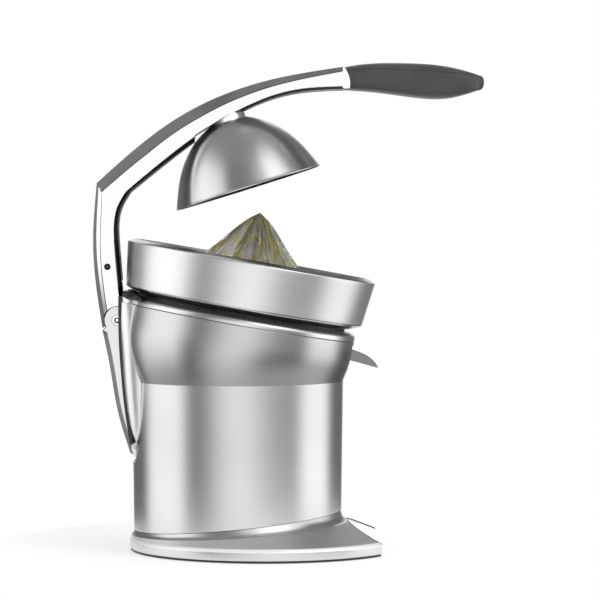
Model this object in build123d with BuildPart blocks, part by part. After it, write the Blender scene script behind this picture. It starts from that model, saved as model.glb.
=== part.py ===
from build123d import *
import math
import os

os.makedirs("parts", exist_ok=True)

# Lever citrus juice press. Millimetres and degrees. +Z is up and +X is the front,
# where the juice leaves. Side-view points are given from the body's upright axis.

# ---- Driving dimensions ----
BODY_X = -47.0  # the body's axis, from the middle of the whole press
TILT = 10.0  # how far the bowl and collar lean to the front
HEAD_Z = 190.0  # where the leaning head axis crosses the body's axis
RUN = 0.05  # radial clearance of a running fit
GAP = 0.3  # clearance between pieces that don't touch
THROUGH = 60.0  # long enough to cut through any wall

# Foot
FOOT_CENTRE_X = 26.1
FOOT_LENGTH_R = 124.5
FOOT_WIDTH_R = 115.3
FOOT_BOTTOM_Z = 1.5
LIP_TOP_Z = 12.5
LIP_INSET = 3.0  # the slope starts this far inside the lip's edge
CREASE_SHIFT = 2.0  # the crease's circle stands this far to the front of the body's axis
GLASS_X = 187.3  # centre and radius of the bite for the glass
GLASS_R = 87.3
SEAM_MIDDLE_Z = 27.6  # the slanting seam between foot and sleeve
SEAM_SLOPE = 0.0957
CREASE_MIDDLE_Z = 20.4  # the slanting crease under the fillet below that seam
CREASE_SLOPE = 0.062
CREASE_OUT = 4.5
FOOT_BORE_R = 88.0

# Sleeve
WALL = 1.6
SLEEVE_BOTTOM_R = 94.6
WAIST_R = 96.6
WAIST_Z = 154.6
FLARE_MIDDLE_R = 102.2
FLARE_MIDDLE_Z = 175.4
FLARE_MIDDLE_TILT = 5.0
SHOULDER_H = 4.0
COLLAR_R = 105.2
COLLAR_SEAM_H = 18.4
COLLAR_TOP_H = 26.3

# Bowl, strainer and cone, measured along the head axis from HEAD_Z
DECK_R = 94.6
DECK_BOTTOM_H = 20.4
DECK_THICK = 3.0
BOWL_FLOOR_H = 28.9
BOWL_FLAT_R = 98.0
BOWL_BEVEL_R = 107.9
BOWL_FOOT_R = 109.4
BOWL_RIM_R = 114.5
BOWL_RIM_H = 73.7
BOWL_TOP_R = 108.4
BOWL_TOP_H = 77.0
STEEL = 1.6
DRAIN_U = 84.0
DRAIN_R = 9.0
DRAIN_END_H = 16.0
STRAINER_R = 101.2
STRAINER_TOP_H = 54.0
STRAINER_FLOOR_H = 40.0
STRAINER_SLOTS = 48
CONE_FOOT_R = 50.0
CONE_FOOT_H = 47.5
CONE_TOP_H = 119.5
CONE_FINS = 12

# Drive
SPINDLE_R = 5.0
SPINDLE_TOP_H = 95.5
SPINDLE_STEP_H = -9.0  # below this height the spindle is a thinner journal
JOURNAL_R = 4.0
WHEEL_TEETH = 48
PINION_TEETH = 12
SPINDLE_MODULE = 1.5
MOTOR_MODULE = 1.0
MOTOR_V = 46.0  # motor axis, towards the far side of the head axis
MOTOR_R = 34.0
PRESS_TRAVEL = 1.5  # how far the cone sinks to start the motor

# Lever, side view: x from the body's axis, z from the ground
KNUCKLE = (-109.1, 210.2)
LINK_PIVOT = (-92.0, 96.1)
ARM_PIVOT = (-117.9, 258.8)
GUIDE = (-98.4, 223.3)
ARM_HALF = 21.0
KNUCKLE_R = 12.4
KNUCKLE_PIN_R = 5.0
LINK_PIN_R = 3.0
TONGUE_R = 11.5
TONGUE_IN = 9.7  # the arm's two tongues lie between these half widths
TONGUE_OUT = 15.7
TAIL_HALF = 15.4  # the arm's back runs on past the knuckle, between the link's plates
TAIL_R = 12.6
FRONT_LINK_HALF = 9.0
GUIDE_SLOT_HALF = 4.6
GUIDE_TRAVEL = 10.8  # how far the guide pin runs along the slot when the arm is lifted
CHANNEL_HALF = 23.0
CHANNEL_FLOOR_X = -78.0
CHANNEL_BOTTOM_Z = 84.0
LINER = 2.7  # wall of the channel where it passes through the sleeve
BEHIND_X = -140.0  # clear of the press, to the rear
ABOVE_Z = 250.0  # clear of the collar, upwards

# Dome
DOME_CENTRE = (9.9, 330.2)
DOME_LEAN = 17.4
DOME_R = 68.9
DOME_HEIGHT = 66.8

# ---- Planes ----
lean = math.radians(TILT)
FLOOR = Plane(origin=(BODY_X, 0, 0))
SIDE = Plane(origin=(BODY_X, 0, 0), x_dir=(1, 0, 0), z_dir=(0, -1, 0))
HEAD = Plane(
    origin=(BODY_X, 0, HEAD_Z),
    x_dir=(math.cos(lean), 0, -math.sin(lean)),
    z_dir=(math.sin(lean), 0, math.cos(lean)),
)
HEAD_SIDE = Plane(origin=HEAD.origin, x_dir=HEAD.x_dir, z_dir=(0, -1, 0))
HEAD_AXIS = Axis(HEAD.origin, HEAD.z_dir)
FOOT_SEAM = Plane(
    origin=(BODY_X, 0, SEAM_MIDDLE_Z),
    x_dir=(1, 0, SEAM_SLOPE),
    z_dir=(-SEAM_SLOPE, 0, 1),
)
FOOT_CREASE = Plane(
    origin=(BODY_X, 0, CREASE_MIDDLE_Z),
    x_dir=(1, 0, CREASE_SLOPE),
    z_dir=(-CREASE_SLOPE, 0, 1),
)
flare_lean = math.radians(FLARE_MIDDLE_TILT)
FLARE_MIDDLE = Plane(
    origin=(BODY_X, 0, FLARE_MIDDLE_Z),
    x_dir=(math.cos(flare_lean), 0, -math.sin(flare_lean)),
    z_dir=(math.sin(flare_lean), 0, math.cos(flare_lean)),
)
dome_lean = math.radians(DOME_LEAN)
DOME = Plane(
    origin=(BODY_X + DOME_CENTRE[0], 0, DOME_CENTRE[1]),
    x_dir=(math.cos(dome_lean), 0, math.sin(dome_lean)),
    z_dir=(-math.sin(dome_lean), 0, math.cos(dome_lean)),
)
DOME_SIDE = Plane(origin=DOME.origin, x_dir=DOME.x_dir, z_dir=(0, -1, 0))
DOME_AXIS = Axis(DOME.origin, DOME.z_dir)


def at(point, angle, radius):
    """The side-view point at an angle and distance from another one."""
    turn = math.radians(angle)
    return (point[0] + radius * math.cos(turn), point[1] + radius * math.sin(turn))


# ---- Foot ----
FEET = [(92, 64), (92, -64), (-50, 62), (-50, -62)]
BASE_SCREWS = [(60, 76), (60, -76), (-20, 92), (-20, -92)]
BASE_SCREW_R = 1.9
BASE_SCREW_HEAD_R = 4.0
PLATE_THICK = 3.0
PLATE_INSET = 8.0
SKIRT_INSET = 1.2  # the plate's skirt shows as a dark line under the lip
SKIRT_BOTTOM_Z = 0.5
RUBBER_R = 9.0
RECESS = 1.5  # how deep the feet and the screw heads sit in the plate

with BuildPart() as base_casting:
    with BuildSketch(FLOOR.offset(FOOT_BOTTOM_Z)):
        with Locations((FOOT_CENTRE_X, 0)):
            Ellipse(FOOT_LENGTH_R, FOOT_WIDTH_R)
    extrude(amount=LIP_TOP_Z - FOOT_BOTTOM_Z)
    with BuildSketch(FLOOR.offset(LIP_TOP_Z)):
        with Locations((FOOT_CENTRE_X, 0)):
            Ellipse(FOOT_LENGTH_R - LIP_INSET, FOOT_WIDTH_R - LIP_INSET)
    with BuildSketch(FOOT_CREASE):
        with Locations((CREASE_SHIFT, 0)):
            Circle(SLEEVE_BOTTOM_R + CREASE_OUT)
    loft(ruled=True)
    with BuildSketch(FOOT_CREASE):
        with Locations((CREASE_SHIFT, 0)):
            Circle(SLEEVE_BOTTOM_R + CREASE_OUT)
    with BuildSketch(FOOT_SEAM.offset(-0.1)):
        Circle(SLEEVE_BOTTOM_R)
    loft(ruled=True)
    with BuildSketch(FLOOR):
        Circle(FOOT_BORE_R)
        with Locations((GLASS_X, 0)):
            Circle(GLASS_R)
    extrude(amount=THROUGH, mode=Mode.SUBTRACT)
    with BuildSketch(FLOOR):
        with Locations((FOOT_CENTRE_X, 0)):
            Ellipse(FOOT_LENGTH_R - PLATE_INSET + GAP, FOOT_WIDTH_R - PLATE_INSET + GAP)
        with Locations((GLASS_X, 0)):
            Circle(GLASS_R + PLATE_INSET - GAP, mode=Mode.SUBTRACT)
    extrude(amount=FOOT_BOTTOM_Z + PLATE_THICK, mode=Mode.SUBTRACT)
    with BuildSketch(FLOOR.offset(FOOT_BOTTOM_Z + PLATE_THICK)):
        with Locations(*BASE_SCREWS):
            Circle(BASE_SCREW_R + 0.1)
    extrude(amount=6, mode=Mode.SUBTRACT)

with BuildPart() as base_plate:
    with BuildSketch(FLOOR.offset(FOOT_BOTTOM_Z)):
        with Locations((FOOT_CENTRE_X, 0)):
            Ellipse(FOOT_LENGTH_R - PLATE_INSET, FOOT_WIDTH_R - PLATE_INSET)
        with Locations((GLASS_X, 0)):
            Circle(GLASS_R + PLATE_INSET, mode=Mode.SUBTRACT)
        with Locations(*BASE_SCREWS):
            Circle(BASE_SCREW_R + GAP, mode=Mode.SUBTRACT)
    extrude(amount=PLATE_THICK)
    with BuildSketch(FLOOR.offset(SKIRT_BOTTOM_Z)):
        with Locations((FOOT_CENTRE_X, 0)):
            Ellipse(FOOT_LENGTH_R - SKIRT_INSET, FOOT_WIDTH_R - SKIRT_INSET)
            Ellipse(
                FOOT_LENGTH_R - 1.5 * PLATE_INSET, FOOT_WIDTH_R - 1.5 * PLATE_INSET, mode=Mode.SUBTRACT
            )
        with Locations((GLASS_X, 0)):
            Circle(GLASS_R + SKIRT_INSET, mode=Mode.SUBTRACT)
    extrude(amount=FOOT_BOTTOM_Z - SKIRT_BOTTOM_Z)
    with BuildSketch(FLOOR):
        with Locations(*BASE_SCREWS):
            Circle(BASE_SCREW_HEAD_R + 0.2)
        with Locations(*FEET):
            Circle(RUBBER_R + 0.1)
    extrude(amount=FOOT_BOTTOM_Z + RECESS, mode=Mode.SUBTRACT)

with BuildPart() as rubber_feet:
    with BuildSketch(FLOOR):
        with Locations(*FEET):
            Circle(RUBBER_R)
    extrude(amount=FOOT_BOTTOM_Z + RECESS - 0.1)

with BuildPart() as base_screws:
    with BuildSketch(FLOOR.offset(FOOT_BOTTOM_Z + 0.1)):
        with Locations(*BASE_SCREWS):
            Circle(BASE_SCREW_HEAD_R)
    extrude(amount=1.3)
    with BuildSketch(FLOOR.offset(FOOT_BOTTOM_Z + 0.1)):
        with Locations(*BASE_SCREWS):
            Circle(BASE_SCREW_R)
    extrude(amount=7)


# ---- Cord inlet, at the far rear side ----
GLAND_Z = 52.0
GLAND_OUT = SLEEVE_BOTTOM_R + 0.8
GLAND_R = 6.5
FLANGE_R = 9.5
CORD_R = 3.6
gland_turn = math.radians(135)
GLAND = Plane(
    origin=(BODY_X + GLAND_OUT * math.cos(gland_turn), GLAND_OUT * math.sin(gland_turn), GLAND_Z),
    x_dir=(0, 0, 1),
    z_dir=(math.cos(gland_turn), math.sin(gland_turn), 0),
)

with BuildPart() as gland_hole:
    with BuildSketch(GLAND.offset(-20)):
        Circle(GLAND_R + 0.1)
    extrude(amount=30)


# ---- Sleeve, collar and spine ----
def sleeve_solid(inset):
    """The sleeve as a full solid, with its wall taken in by inset."""
    with BuildPart() as solid:
        with BuildSketch(FLOOR):
            Circle(SLEEVE_BOTTOM_R - inset)
        with BuildSketch(FLOOR.offset(WAIST_Z)):
            Circle(WAIST_R - inset)
        loft(ruled=True)
        with BuildSketch(FLOOR.offset(WAIST_Z)):
            Circle(WAIST_R - inset)
        with BuildSketch(FLARE_MIDDLE):
            Circle(FLARE_MIDDLE_R - inset)
        with BuildSketch(HEAD.offset(SHOULDER_H)):
            Circle(COLLAR_R - inset)
        loft()
        with BuildSketch(HEAD.offset(SHOULDER_H)):
            Circle(COLLAR_R - inset)
        extrude(amount=COLLAR_SEAM_H - SHOULDER_H)
    return solid.part


def spine_block(inset):
    """The fairing on the back, before the sleeve and the channel are taken out of it."""
    sections = [
        # height, back face, half width, corner radius
        (80, -91.5, 12, 6),
        (93, -94.6, 27, 9),
        (113.5, -97.8, 37, 12),
        (133.6, -100.6, 41, 14),
        (158.3, -103.0, 43, 15),
        (190, -105.2, 42, 15),
        (240, -105.6, 40, 15),
    ]
    with BuildPart() as block:
        for height, back, half_width, corner in sections:
            depth = 60
            with BuildSketch(FLOOR.offset(height)):
                with Locations((back + inset + depth / 2, 0)):
                    RectangleRounded(depth, 2 * (half_width - inset), corner)
        loft()
    return block.part


SLEEVE_FULL = sleeve_solid(0)
SPINE_FULL = spine_block(0)
SEAM_GAP = 0.2

with BuildPart() as channel_space:
    with BuildSketch(SIDE):
        with BuildLine():
            Polyline(
                (BEHIND_X, CHANNEL_BOTTOM_Z + 4),
                (CHANNEL_FLOOR_X - 10, CHANNEL_BOTTOM_Z),
                (CHANNEL_FLOOR_X, CHANNEL_BOTTOM_Z + 8),
                (CHANNEL_FLOOR_X, ABOVE_Z),
                (BEHIND_X, ABOVE_Z),
                close=True,
            )
        make_face()
    extrude(amount=CHANNEL_HALF, both=True)

with BuildPart() as trough_space:
    with BuildSketch(SIDE):
        with BuildLine():
            Polyline(
                (BEHIND_X, CHANNEL_BOTTOM_Z + 1),
                (CHANNEL_FLOOR_X - 10, CHANNEL_BOTTOM_Z - 3),
                (CHANNEL_FLOOR_X + LINER + GAP, CHANNEL_BOTTOM_Z + 6),
                (CHANNEL_FLOOR_X + LINER + GAP, ABOVE_Z),
                (BEHIND_X, ABOVE_Z),
                close=True,
            )
        make_face()
    extrude(amount=CHANNEL_HALF + LINER + GAP, both=True)

SPOUT_SLOT_HALF = 17.4

with BuildPart() as body_shell:
    add(SLEEVE_FULL)
    add(sleeve_solid(WALL), mode=Mode.SUBTRACT)
    split(bisect_by=FOOT_SEAM, keep=Keep.TOP)
    add(trough_space.part, mode=Mode.SUBTRACT)
    with BuildSketch(HEAD.offset(-6)):
        with Locations((100, 0)):
            Rectangle(40, 2 * SPOUT_SLOT_HALF)
    extrude(amount=21, mode=Mode.SUBTRACT)
    add(gland_hole.part, mode=Mode.SUBTRACT)

with BuildPart() as rear_spine:
    add(SPINE_FULL)
    split(bisect_by=HEAD.offset(COLLAR_SEAM_H), keep=Keep.BOTTOM)
    add(SLEEVE_FULL, mode=Mode.SUBTRACT)
    with BuildSketch(SIDE):
        with BuildLine():
            Polyline(
                (-95.8, CHANNEL_BOTTOM_Z + 9),
                (-91.6, CHANNEL_BOTTOM_Z - 1.6),
                (CHANNEL_FLOOR_X - 10, CHANNEL_BOTTOM_Z - 2.6),
                (CHANNEL_FLOOR_X + LINER, CHANNEL_BOTTOM_Z + 6.4),
                (CHANNEL_FLOOR_X + LINER, 215),
                (-100, 219),
                close=True,
            )
        make_face()
    extrude(amount=CHANNEL_HALF + LINER, both=True)
    add(channel_space.part, mode=Mode.SUBTRACT)
    for centre, radius in ((GUIDE, LINK_PIN_R), (LINK_PIVOT, LINK_PIN_R)):
        with BuildSketch(SIDE):
            with Locations(centre):
                Circle(radius)
        extrude(amount=CHANNEL_HALF + LINER, both=True, mode=Mode.SUBTRACT)

with BuildPart() as collar_back:
    add(SPINE_FULL)
    split(bisect_by=HEAD.offset(COLLAR_SEAM_H + SEAM_GAP), keep=Keep.TOP)
    split(bisect_by=HEAD.offset(COLLAR_TOP_H - 3), keep=Keep.BOTTOM)
    with BuildSketch(HEAD):
        Circle(DECK_R + 0.2)
    extrude(amount=THROUGH, mode=Mode.SUBTRACT)

with BuildPart() as collar_ring:
    with BuildSketch(HEAD_SIDE):
        with BuildLine():
            Polyline(
                (96.6, COLLAR_TOP_H),
                (DECK_R + 0.2, COLLAR_TOP_H),
                (DECK_R + 0.2, COLLAR_SEAM_H + SEAM_GAP),
                (COLLAR_R, COLLAR_SEAM_H + SEAM_GAP),
                (COLLAR_R, COLLAR_TOP_H - 5),
            )
            Spline(
                (COLLAR_R, COLLAR_TOP_H - 5),
                (96.6, COLLAR_TOP_H),
                tangents=[(0, 1), (-1, 0.1)],
            )
        make_face()
    revolve(axis=HEAD_AXIS)
    add(collar_back.part)
    add(channel_space.part, mode=Mode.SUBTRACT)
    with BuildSketch(SIDE):
        with Locations(GUIDE):
            Circle(LINK_PIN_R + GAP)
    extrude(amount=CHANNEL_HALF + 3, both=True, mode=Mode.SUBTRACT)

# ---- Deck inside the collar ----
TOWER_R = 18.0
TOWER_BOTTOM_H = 11.0
TOWER_TOP_H = 43.0
STANDOFF_R = 4.5
BUSH_R = 9.0
STANDOFFS = [(-34, 22), (-34, -22), (34, -22), (50, 40)]
POSTS = [(56, 58), (56, -58), (-56, 58), (-56, -58)]
POST_R = 5.0

with BuildPart() as top_deck:
    with BuildSketch(HEAD.offset(DECK_BOTTOM_H)):
        Circle(DECK_R)
    extrude(amount=DECK_THICK)
    with BuildSketch(HEAD.offset(DECK_BOTTOM_H + DECK_THICK)):
        Circle(DECK_R)
        Circle(DECK_R - 8, mode=Mode.SUBTRACT)
    extrude(amount=BOWL_FLOOR_H - GAP - DECK_BOTTOM_H - DECK_THICK)
    with BuildSketch(HEAD.offset(TOWER_BOTTOM_H)):
        Circle(TOWER_R)
    extrude(amount=TOWER_TOP_H - TOWER_BOTTOM_H)
    with BuildSketch(HEAD.offset(TOWER_BOTTOM_H + 0.2)):
        with Locations(*STANDOFFS):
            Circle(STANDOFF_R)
    extrude(amount=DECK_BOTTOM_H - TOWER_BOTTOM_H - 0.2)
    with BuildSketch(HEAD):
        Circle(BUSH_R)
        with Locations((DRAIN_U, 0)):
            Circle(DRAIN_R + STEEL + 0.8)
    extrude(amount=THROUGH, mode=Mode.SUBTRACT)
    add(channel_space.part, mode=Mode.SUBTRACT)

with BuildPart() as spine_cap:
    add(spine_block(2.5))
    split(bisect_by=HEAD.offset(COLLAR_TOP_H - 2.9), keep=Keep.TOP)
    split(bisect_by=HEAD.offset(COLLAR_TOP_H + 2.8), keep=Keep.BOTTOM)
    with BuildSketch(HEAD):
        Circle(COLLAR_R + 0.4)
    extrude(amount=THROUGH, mode=Mode.SUBTRACT)
    add(channel_space.part, mode=Mode.SUBTRACT)

with BuildPart() as tie_posts:
    with BuildSketch(FLOOR.offset(FOOT_BOTTOM_Z + PLATE_THICK)):
        with Locations(*POSTS):
            Circle(POST_R)
    extrude(amount=HEAD_Z + 40)
    split(bisect_by=HEAD.offset(DECK_BOTTOM_H), keep=Keep.BOTTOM)

with BuildPart() as cord_gland:
    with BuildSketch(GLAND.offset(0.2)):
        Circle(FLANGE_R)
    extrude(amount=3)
    with BuildSketch(GLAND.offset(-9)):
        Circle(GLAND_R)
    extrude(amount=18)
    with BuildSketch(GLAND.offset(-20)):
        Circle(CORD_R)
    extrude(amount=50, mode=Mode.SUBTRACT)

# ---- Bowl, strainer, cone ----
CENTRE_TUBE_R = 26.4

with BuildPart() as juice_bowl:
    with BuildSketch(HEAD_SIDE):
        with BuildLine():
            Polyline(
                (CENTRE_TUBE_R, BOWL_FLOOR_H),
                (BOWL_FLAT_R, BOWL_FLOOR_H),
                (BOWL_BEVEL_R, BOWL_FLOOR_H + 3.7),
                (BOWL_FOOT_R, BOWL_FLOOR_H + 5.7),
                (BOWL_RIM_R, BOWL_RIM_H),
                (BOWL_TOP_R, BOWL_TOP_H),
                (BOWL_TOP_R - 0.9, BOWL_TOP_H - 1.4),
                (BOWL_RIM_R - 2.0, BOWL_RIM_H - 0.8),
                (BOWL_FOOT_R - 1.8, BOWL_FLOOR_H + 6.4),
                (BOWL_FLAT_R - 0.4, BOWL_FLOOR_H + STEEL),
                (CENTRE_TUBE_R + STEEL, BOWL_FLOOR_H + STEEL),
                (CENTRE_TUBE_R + STEEL, STRAINER_FLOOR_H + 4),
                (CENTRE_TUBE_R, STRAINER_FLOOR_H + 4),
                close=True,
            )
        make_face()
    revolve(axis=HEAD_AXIS)
    with BuildSketch(HEAD.offset(DRAIN_END_H)):
        with Locations((DRAIN_U, 0)):
            Circle(DRAIN_R + STEEL)
    extrude(amount=BOWL_FLOOR_H + 0.4 - DRAIN_END_H)
    with BuildSketch(HEAD.offset(DRAIN_END_H - 6)):
        with Locations((DRAIN_U, 0)):
            Circle(DRAIN_R)
    extrude(amount=BOWL_FLOOR_H - DRAIN_END_H + 17.1, mode=Mode.SUBTRACT)

with BuildPart() as strainer_basket:
    with BuildSketch(HEAD_SIDE):
        with BuildLine():
            Polyline(
                (CENTRE_TUBE_R + STEEL + 0.4, STRAINER_FLOOR_H),
                (STRAINER_R - 6, STRAINER_FLOOR_H),
                (STRAINER_R - 1.2, STRAINER_FLOOR_H + 5),
                (STRAINER_R - 1.2, STRAINER_TOP_H - 1.2),
                (STRAINER_R + 3, STRAINER_TOP_H - 1.2),
                (STRAINER_R + 3, STRAINER_TOP_H),
                (STRAINER_R - 2.4, STRAINER_TOP_H),
                (STRAINER_R - 2.4, STRAINER_FLOOR_H + 5.5),
                (STRAINER_R - 6.5, STRAINER_FLOOR_H + 1.2),
                (CENTRE_TUBE_R + STEEL + 1.6, STRAINER_FLOOR_H + 1.2),
                (CENTRE_TUBE_R + STEEL + 1.6, STRAINER_FLOOR_H + 5),
                (CENTRE_TUBE_R + STEEL + 0.4, STRAINER_FLOOR_H + 5),
                close=True,
            )
        make_face()
    revolve(axis=HEAD_AXIS)
    with BuildSketch(HEAD_SIDE):
        with BuildLine():
            Polyline(
                (82.0, STRAINER_FLOOR_H + 0.2),
                (84.0, STRAINER_FLOOR_H + 0.2),
                (84.0, BOWL_FLOOR_H + STEEL + 0.1),
                (82.0, BOWL_FLOOR_H + STEEL + 0.1),
                close=True,
            )
        make_face()
    revolve(axis=HEAD_AXIS)
    with BuildSketch(HEAD.offset(BOWL_FLOOR_H)):
        with Locations((DRAIN_U, 0)):
            Circle(DRAIN_R + 3)
    extrude(amount=STRAINER_FLOOR_H - BOWL_FLOOR_H - 0.4, mode=Mode.SUBTRACT)
    with BuildSketch(HEAD.offset(STRAINER_FLOOR_H - 1)):
        with PolarLocations(56.5, STRAINER_SLOTS):
            SlotOverall(42, 2.4)
    extrude(amount=3, mode=Mode.SUBTRACT)

with BuildPart() as reamer_cone:
    with BuildSketch(HEAD_SIDE):
        with BuildLine():
            Polyline(
                (0, CONE_TOP_H),
                (0, CONE_FOOT_H),
                (CONE_FOOT_R, CONE_FOOT_H),
                (CONE_FOOT_R, CONE_FOOT_H + 1.5),
            )
            Spline(
                (CONE_FOOT_R, CONE_FOOT_H + 1.5),
                (48.2, 70.8),
                (36.6, 84.4),
                (21.8, 101.0),
                (0, CONE_TOP_H),
                tangents=[(0, 1), (-1, 0)],
            )
        make_face()
    revolve(axis=HEAD_AXIS)
    for fin in range(CONE_FINS):
        with BuildSketch(HEAD.offset(CONE_FOOT_H + 6)):
            with Locations(at((0, 0), fin * 360 / CONE_FINS, CONE_FOOT_R)):
                Circle(8.0)
        with BuildSketch(HEAD.offset(CONE_TOP_H - 2)):
            with Locations(at((0, 0), fin * 360 / CONE_FINS, 15)):
                Circle(2.5)
        loft(mode=Mode.SUBTRACT)
    with BuildSketch(HEAD):
        Circle(SPINDLE_R + 0.02)
    extrude(amount=SPINDLE_TOP_H + 2, mode=Mode.SUBTRACT)

# ---- Drive ----
PRESSURE_ANGLE = math.radians(25)
BACKLASH = 0.12


def involute(angle):
    return math.tan(angle) - angle


def gear_outline(module, teeth, turn):
    """Corner points of an involute spur gear with one tooth pointing at the angle turn."""
    pitch_r = module * teeth / 2
    base_r = pitch_r * math.cos(PRESSURE_ANGLE)
    root_r = pitch_r - 1.2 * module
    tip_r = pitch_r + 0.9 * module
    half_pitch = (math.pi * module / 2 - BACKLASH) / 2 / pitch_r
    flank_r = max(base_r, root_r + 0.05)
    radii = [root_r] + [flank_r + (tip_r - flank_r) * step / 3 for step in range(4)]
    flank = []
    for radius in radii:
        pressure = math.acos(min(1, base_r / max(radius, base_r)))
        half = half_pitch + involute(PRESSURE_ANGLE) - involute(pressure)
        flank.append((radius, half))
    points = []
    for tooth in range(teeth):
        middle = turn + 2 * math.pi * tooth / teeth
        for radius, half in flank:
            points.append((radius * math.cos(middle - half), radius * math.sin(middle - half)))
        for radius, half in reversed(flank):
            points.append((radius * math.cos(middle + half), radius * math.sin(middle + half)))
    return points


IDLER_DISTANCE = SPINDLE_MODULE * (WHEEL_TEETH + PINION_TEETH) / 2
MOTOR_DISTANCE = MOTOR_MODULE * (WHEEL_TEETH + PINION_TEETH) / 2
idler_v = (MOTOR_V**2 + IDLER_DISTANCE**2 - MOTOR_DISTANCE**2) / 2 / MOTOR_V
IDLER = (math.sqrt(IDLER_DISTANCE**2 - idler_v**2), idler_v)
MOTOR = (0, MOTOR_V)
to_idler = math.atan2(IDLER[1], IDLER[0])
to_motor = math.atan2(MOTOR[1] - IDLER[1], MOTOR[0] - IDLER[0])
half_tooth = math.pi / PINION_TEETH

WHEEL_A_H = -6.0
WHEEL_A_THICK = 10.0
WHEEL_B_H = -17.0
WHEEL_B_THICK = 7.0
CASE_FLOOR_H = -30.0
CASE_TOP_H = 8.0
COVER_TOP_H = 10.8
CASE_WALL = 3.0
IDLER_PIN_R = 3.0
JOURNAL_END_H = CASE_FLOOR_H + PRESS_TRAVEL + 0.5


def head_at(point, height):
    """Head-frame plane whose origin is over a plan point."""
    origin = HEAD.from_local_coords((point[0], point[1], height))
    return Plane(origin=origin, x_dir=HEAD.x_dir, z_dir=HEAD.z_dir)


with BuildPart() as drive_spindle:
    with BuildSketch(HEAD.offset(SPINDLE_STEP_H)):
        Circle(SPINDLE_R)
    extrude(amount=SPINDLE_TOP_H - SPINDLE_STEP_H)
    with BuildSketch(HEAD.offset(JOURNAL_END_H)):
        Circle(JOURNAL_R)
    extrude(amount=SPINDLE_STEP_H - JOURNAL_END_H)

with BuildPart() as spindle_gear:
    with BuildSketch(HEAD.offset(WHEEL_A_H)):
        with BuildLine():
            Polyline(*gear_outline(SPINDLE_MODULE, WHEEL_TEETH, to_idler), close=True)
        make_face()
        Circle(SPINDLE_R + 0.02, mode=Mode.SUBTRACT)
    extrude(amount=WHEEL_A_THICK)

with BuildPart() as idler_gear:
    with BuildSketch(head_at(IDLER, WHEEL_B_H)):
        with BuildLine():
            Polyline(*gear_outline(MOTOR_MODULE, WHEEL_TEETH, to_motor), close=True)
        make_face()
        Circle(IDLER_PIN_R + RUN, mode=Mode.SUBTRACT)
    extrude(amount=WHEEL_B_THICK)
    with BuildSketch(head_at(IDLER, WHEEL_B_H + WHEEL_B_THICK)):
        with BuildLine():
            Polyline(
                *gear_outline(SPINDLE_MODULE, PINION_TEETH, to_idler + math.pi + half_tooth),
                close=True,
            )
        make_face()
        Circle(IDLER_PIN_R + RUN, mode=Mode.SUBTRACT)
    extrude(amount=15)

with BuildPart() as idler_pin:
    with BuildSketch(HEAD.offset(CASE_FLOOR_H + CASE_WALL)):
        with Locations(IDLER):
            Circle(IDLER_PIN_R)
    extrude(amount=CASE_TOP_H - CASE_FLOOR_H - CASE_WALL)


WHEEL_ROOM_R = 39.5
IDLER_ROOM_R = 27.0
PINION_ROOM_R = 20.0


def case_outline(grow):
    """Plan outline of the gearbox, round all three gear axes."""
    with BuildSketch() as outline:
        Circle(WHEEL_ROOM_R + grow)
        with Locations(IDLER):
            Circle(IDLER_ROOM_R + grow)
        with Locations(MOTOR):
            Circle(PINION_ROOM_R + grow)
        make_hull()
    return outline.sketch


with BuildPart() as gearbox_case:
    with BuildSketch(HEAD.offset(CASE_FLOOR_H)):
        add(case_outline(CASE_WALL))
    extrude(amount=CASE_TOP_H - CASE_FLOOR_H)
    with BuildSketch(HEAD.offset(CASE_FLOOR_H + CASE_WALL)):
        add(case_outline(0))
    extrude(amount=THROUGH, mode=Mode.SUBTRACT)
    with BuildSketch(HEAD.offset(CASE_FLOOR_H)):
        Circle(2 * JOURNAL_R)
    extrude(amount=8)
    with BuildSketch(HEAD.offset(CASE_FLOOR_H)):
        Circle(JOURNAL_R + RUN)
        with Locations(MOTOR):
            Circle(9)
    extrude(amount=12, mode=Mode.SUBTRACT)

with BuildPart() as gearbox_cover:
    with BuildSketch(HEAD.offset(CASE_TOP_H)):
        add(case_outline(CASE_WALL))
        Circle(SPINDLE_R + 1, mode=Mode.SUBTRACT)
    extrude(amount=COVER_TOP_H - CASE_TOP_H)

with BuildPart() as thrust_washer:
    with BuildSketch(HEAD.offset(SPINDLE_STEP_H - 0.2)):
        Circle(BUSH_R)
        Circle(SPINDLE_R + 0.4, mode=Mode.SUBTRACT)
    extrude(amount=3.1)

with BuildPart() as return_spring:
    with BuildSketch(HEAD.offset(-21)):
        Circle(7.6)
        Circle(JOURNAL_R + 0.6, mode=Mode.SUBTRACT)
    extrude(amount=9.5)

with BuildPart() as spindle_bush:
    with BuildSketch(HEAD.offset(TOWER_BOTTOM_H + 1)):
        Circle(BUSH_R)
        Circle(SPINDLE_R + RUN, mode=Mode.SUBTRACT)
    extrude(amount=TOWER_TOP_H - TOWER_BOTTOM_H - 3)

with BuildPart() as spindle_seal:
    with BuildSketch(HEAD.offset(TOWER_TOP_H)):
        Circle(TOWER_R - 2)
        Circle(SPINDLE_R + 0.4, mode=Mode.SUBTRACT)
    extrude(amount=1.6)

# Motor, hung under the gearbox
MOTOR_TOP_H = CASE_FLOOR_H - 0.2
MOTOR_LENGTH = 72.0
SHAFT_R = 2.5
CORE_R = 19.0
CORE_TOP_H = MOTOR_TOP_H - 22
CORE_LENGTH = 34.0
CAN_WALL = 2.0

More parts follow.
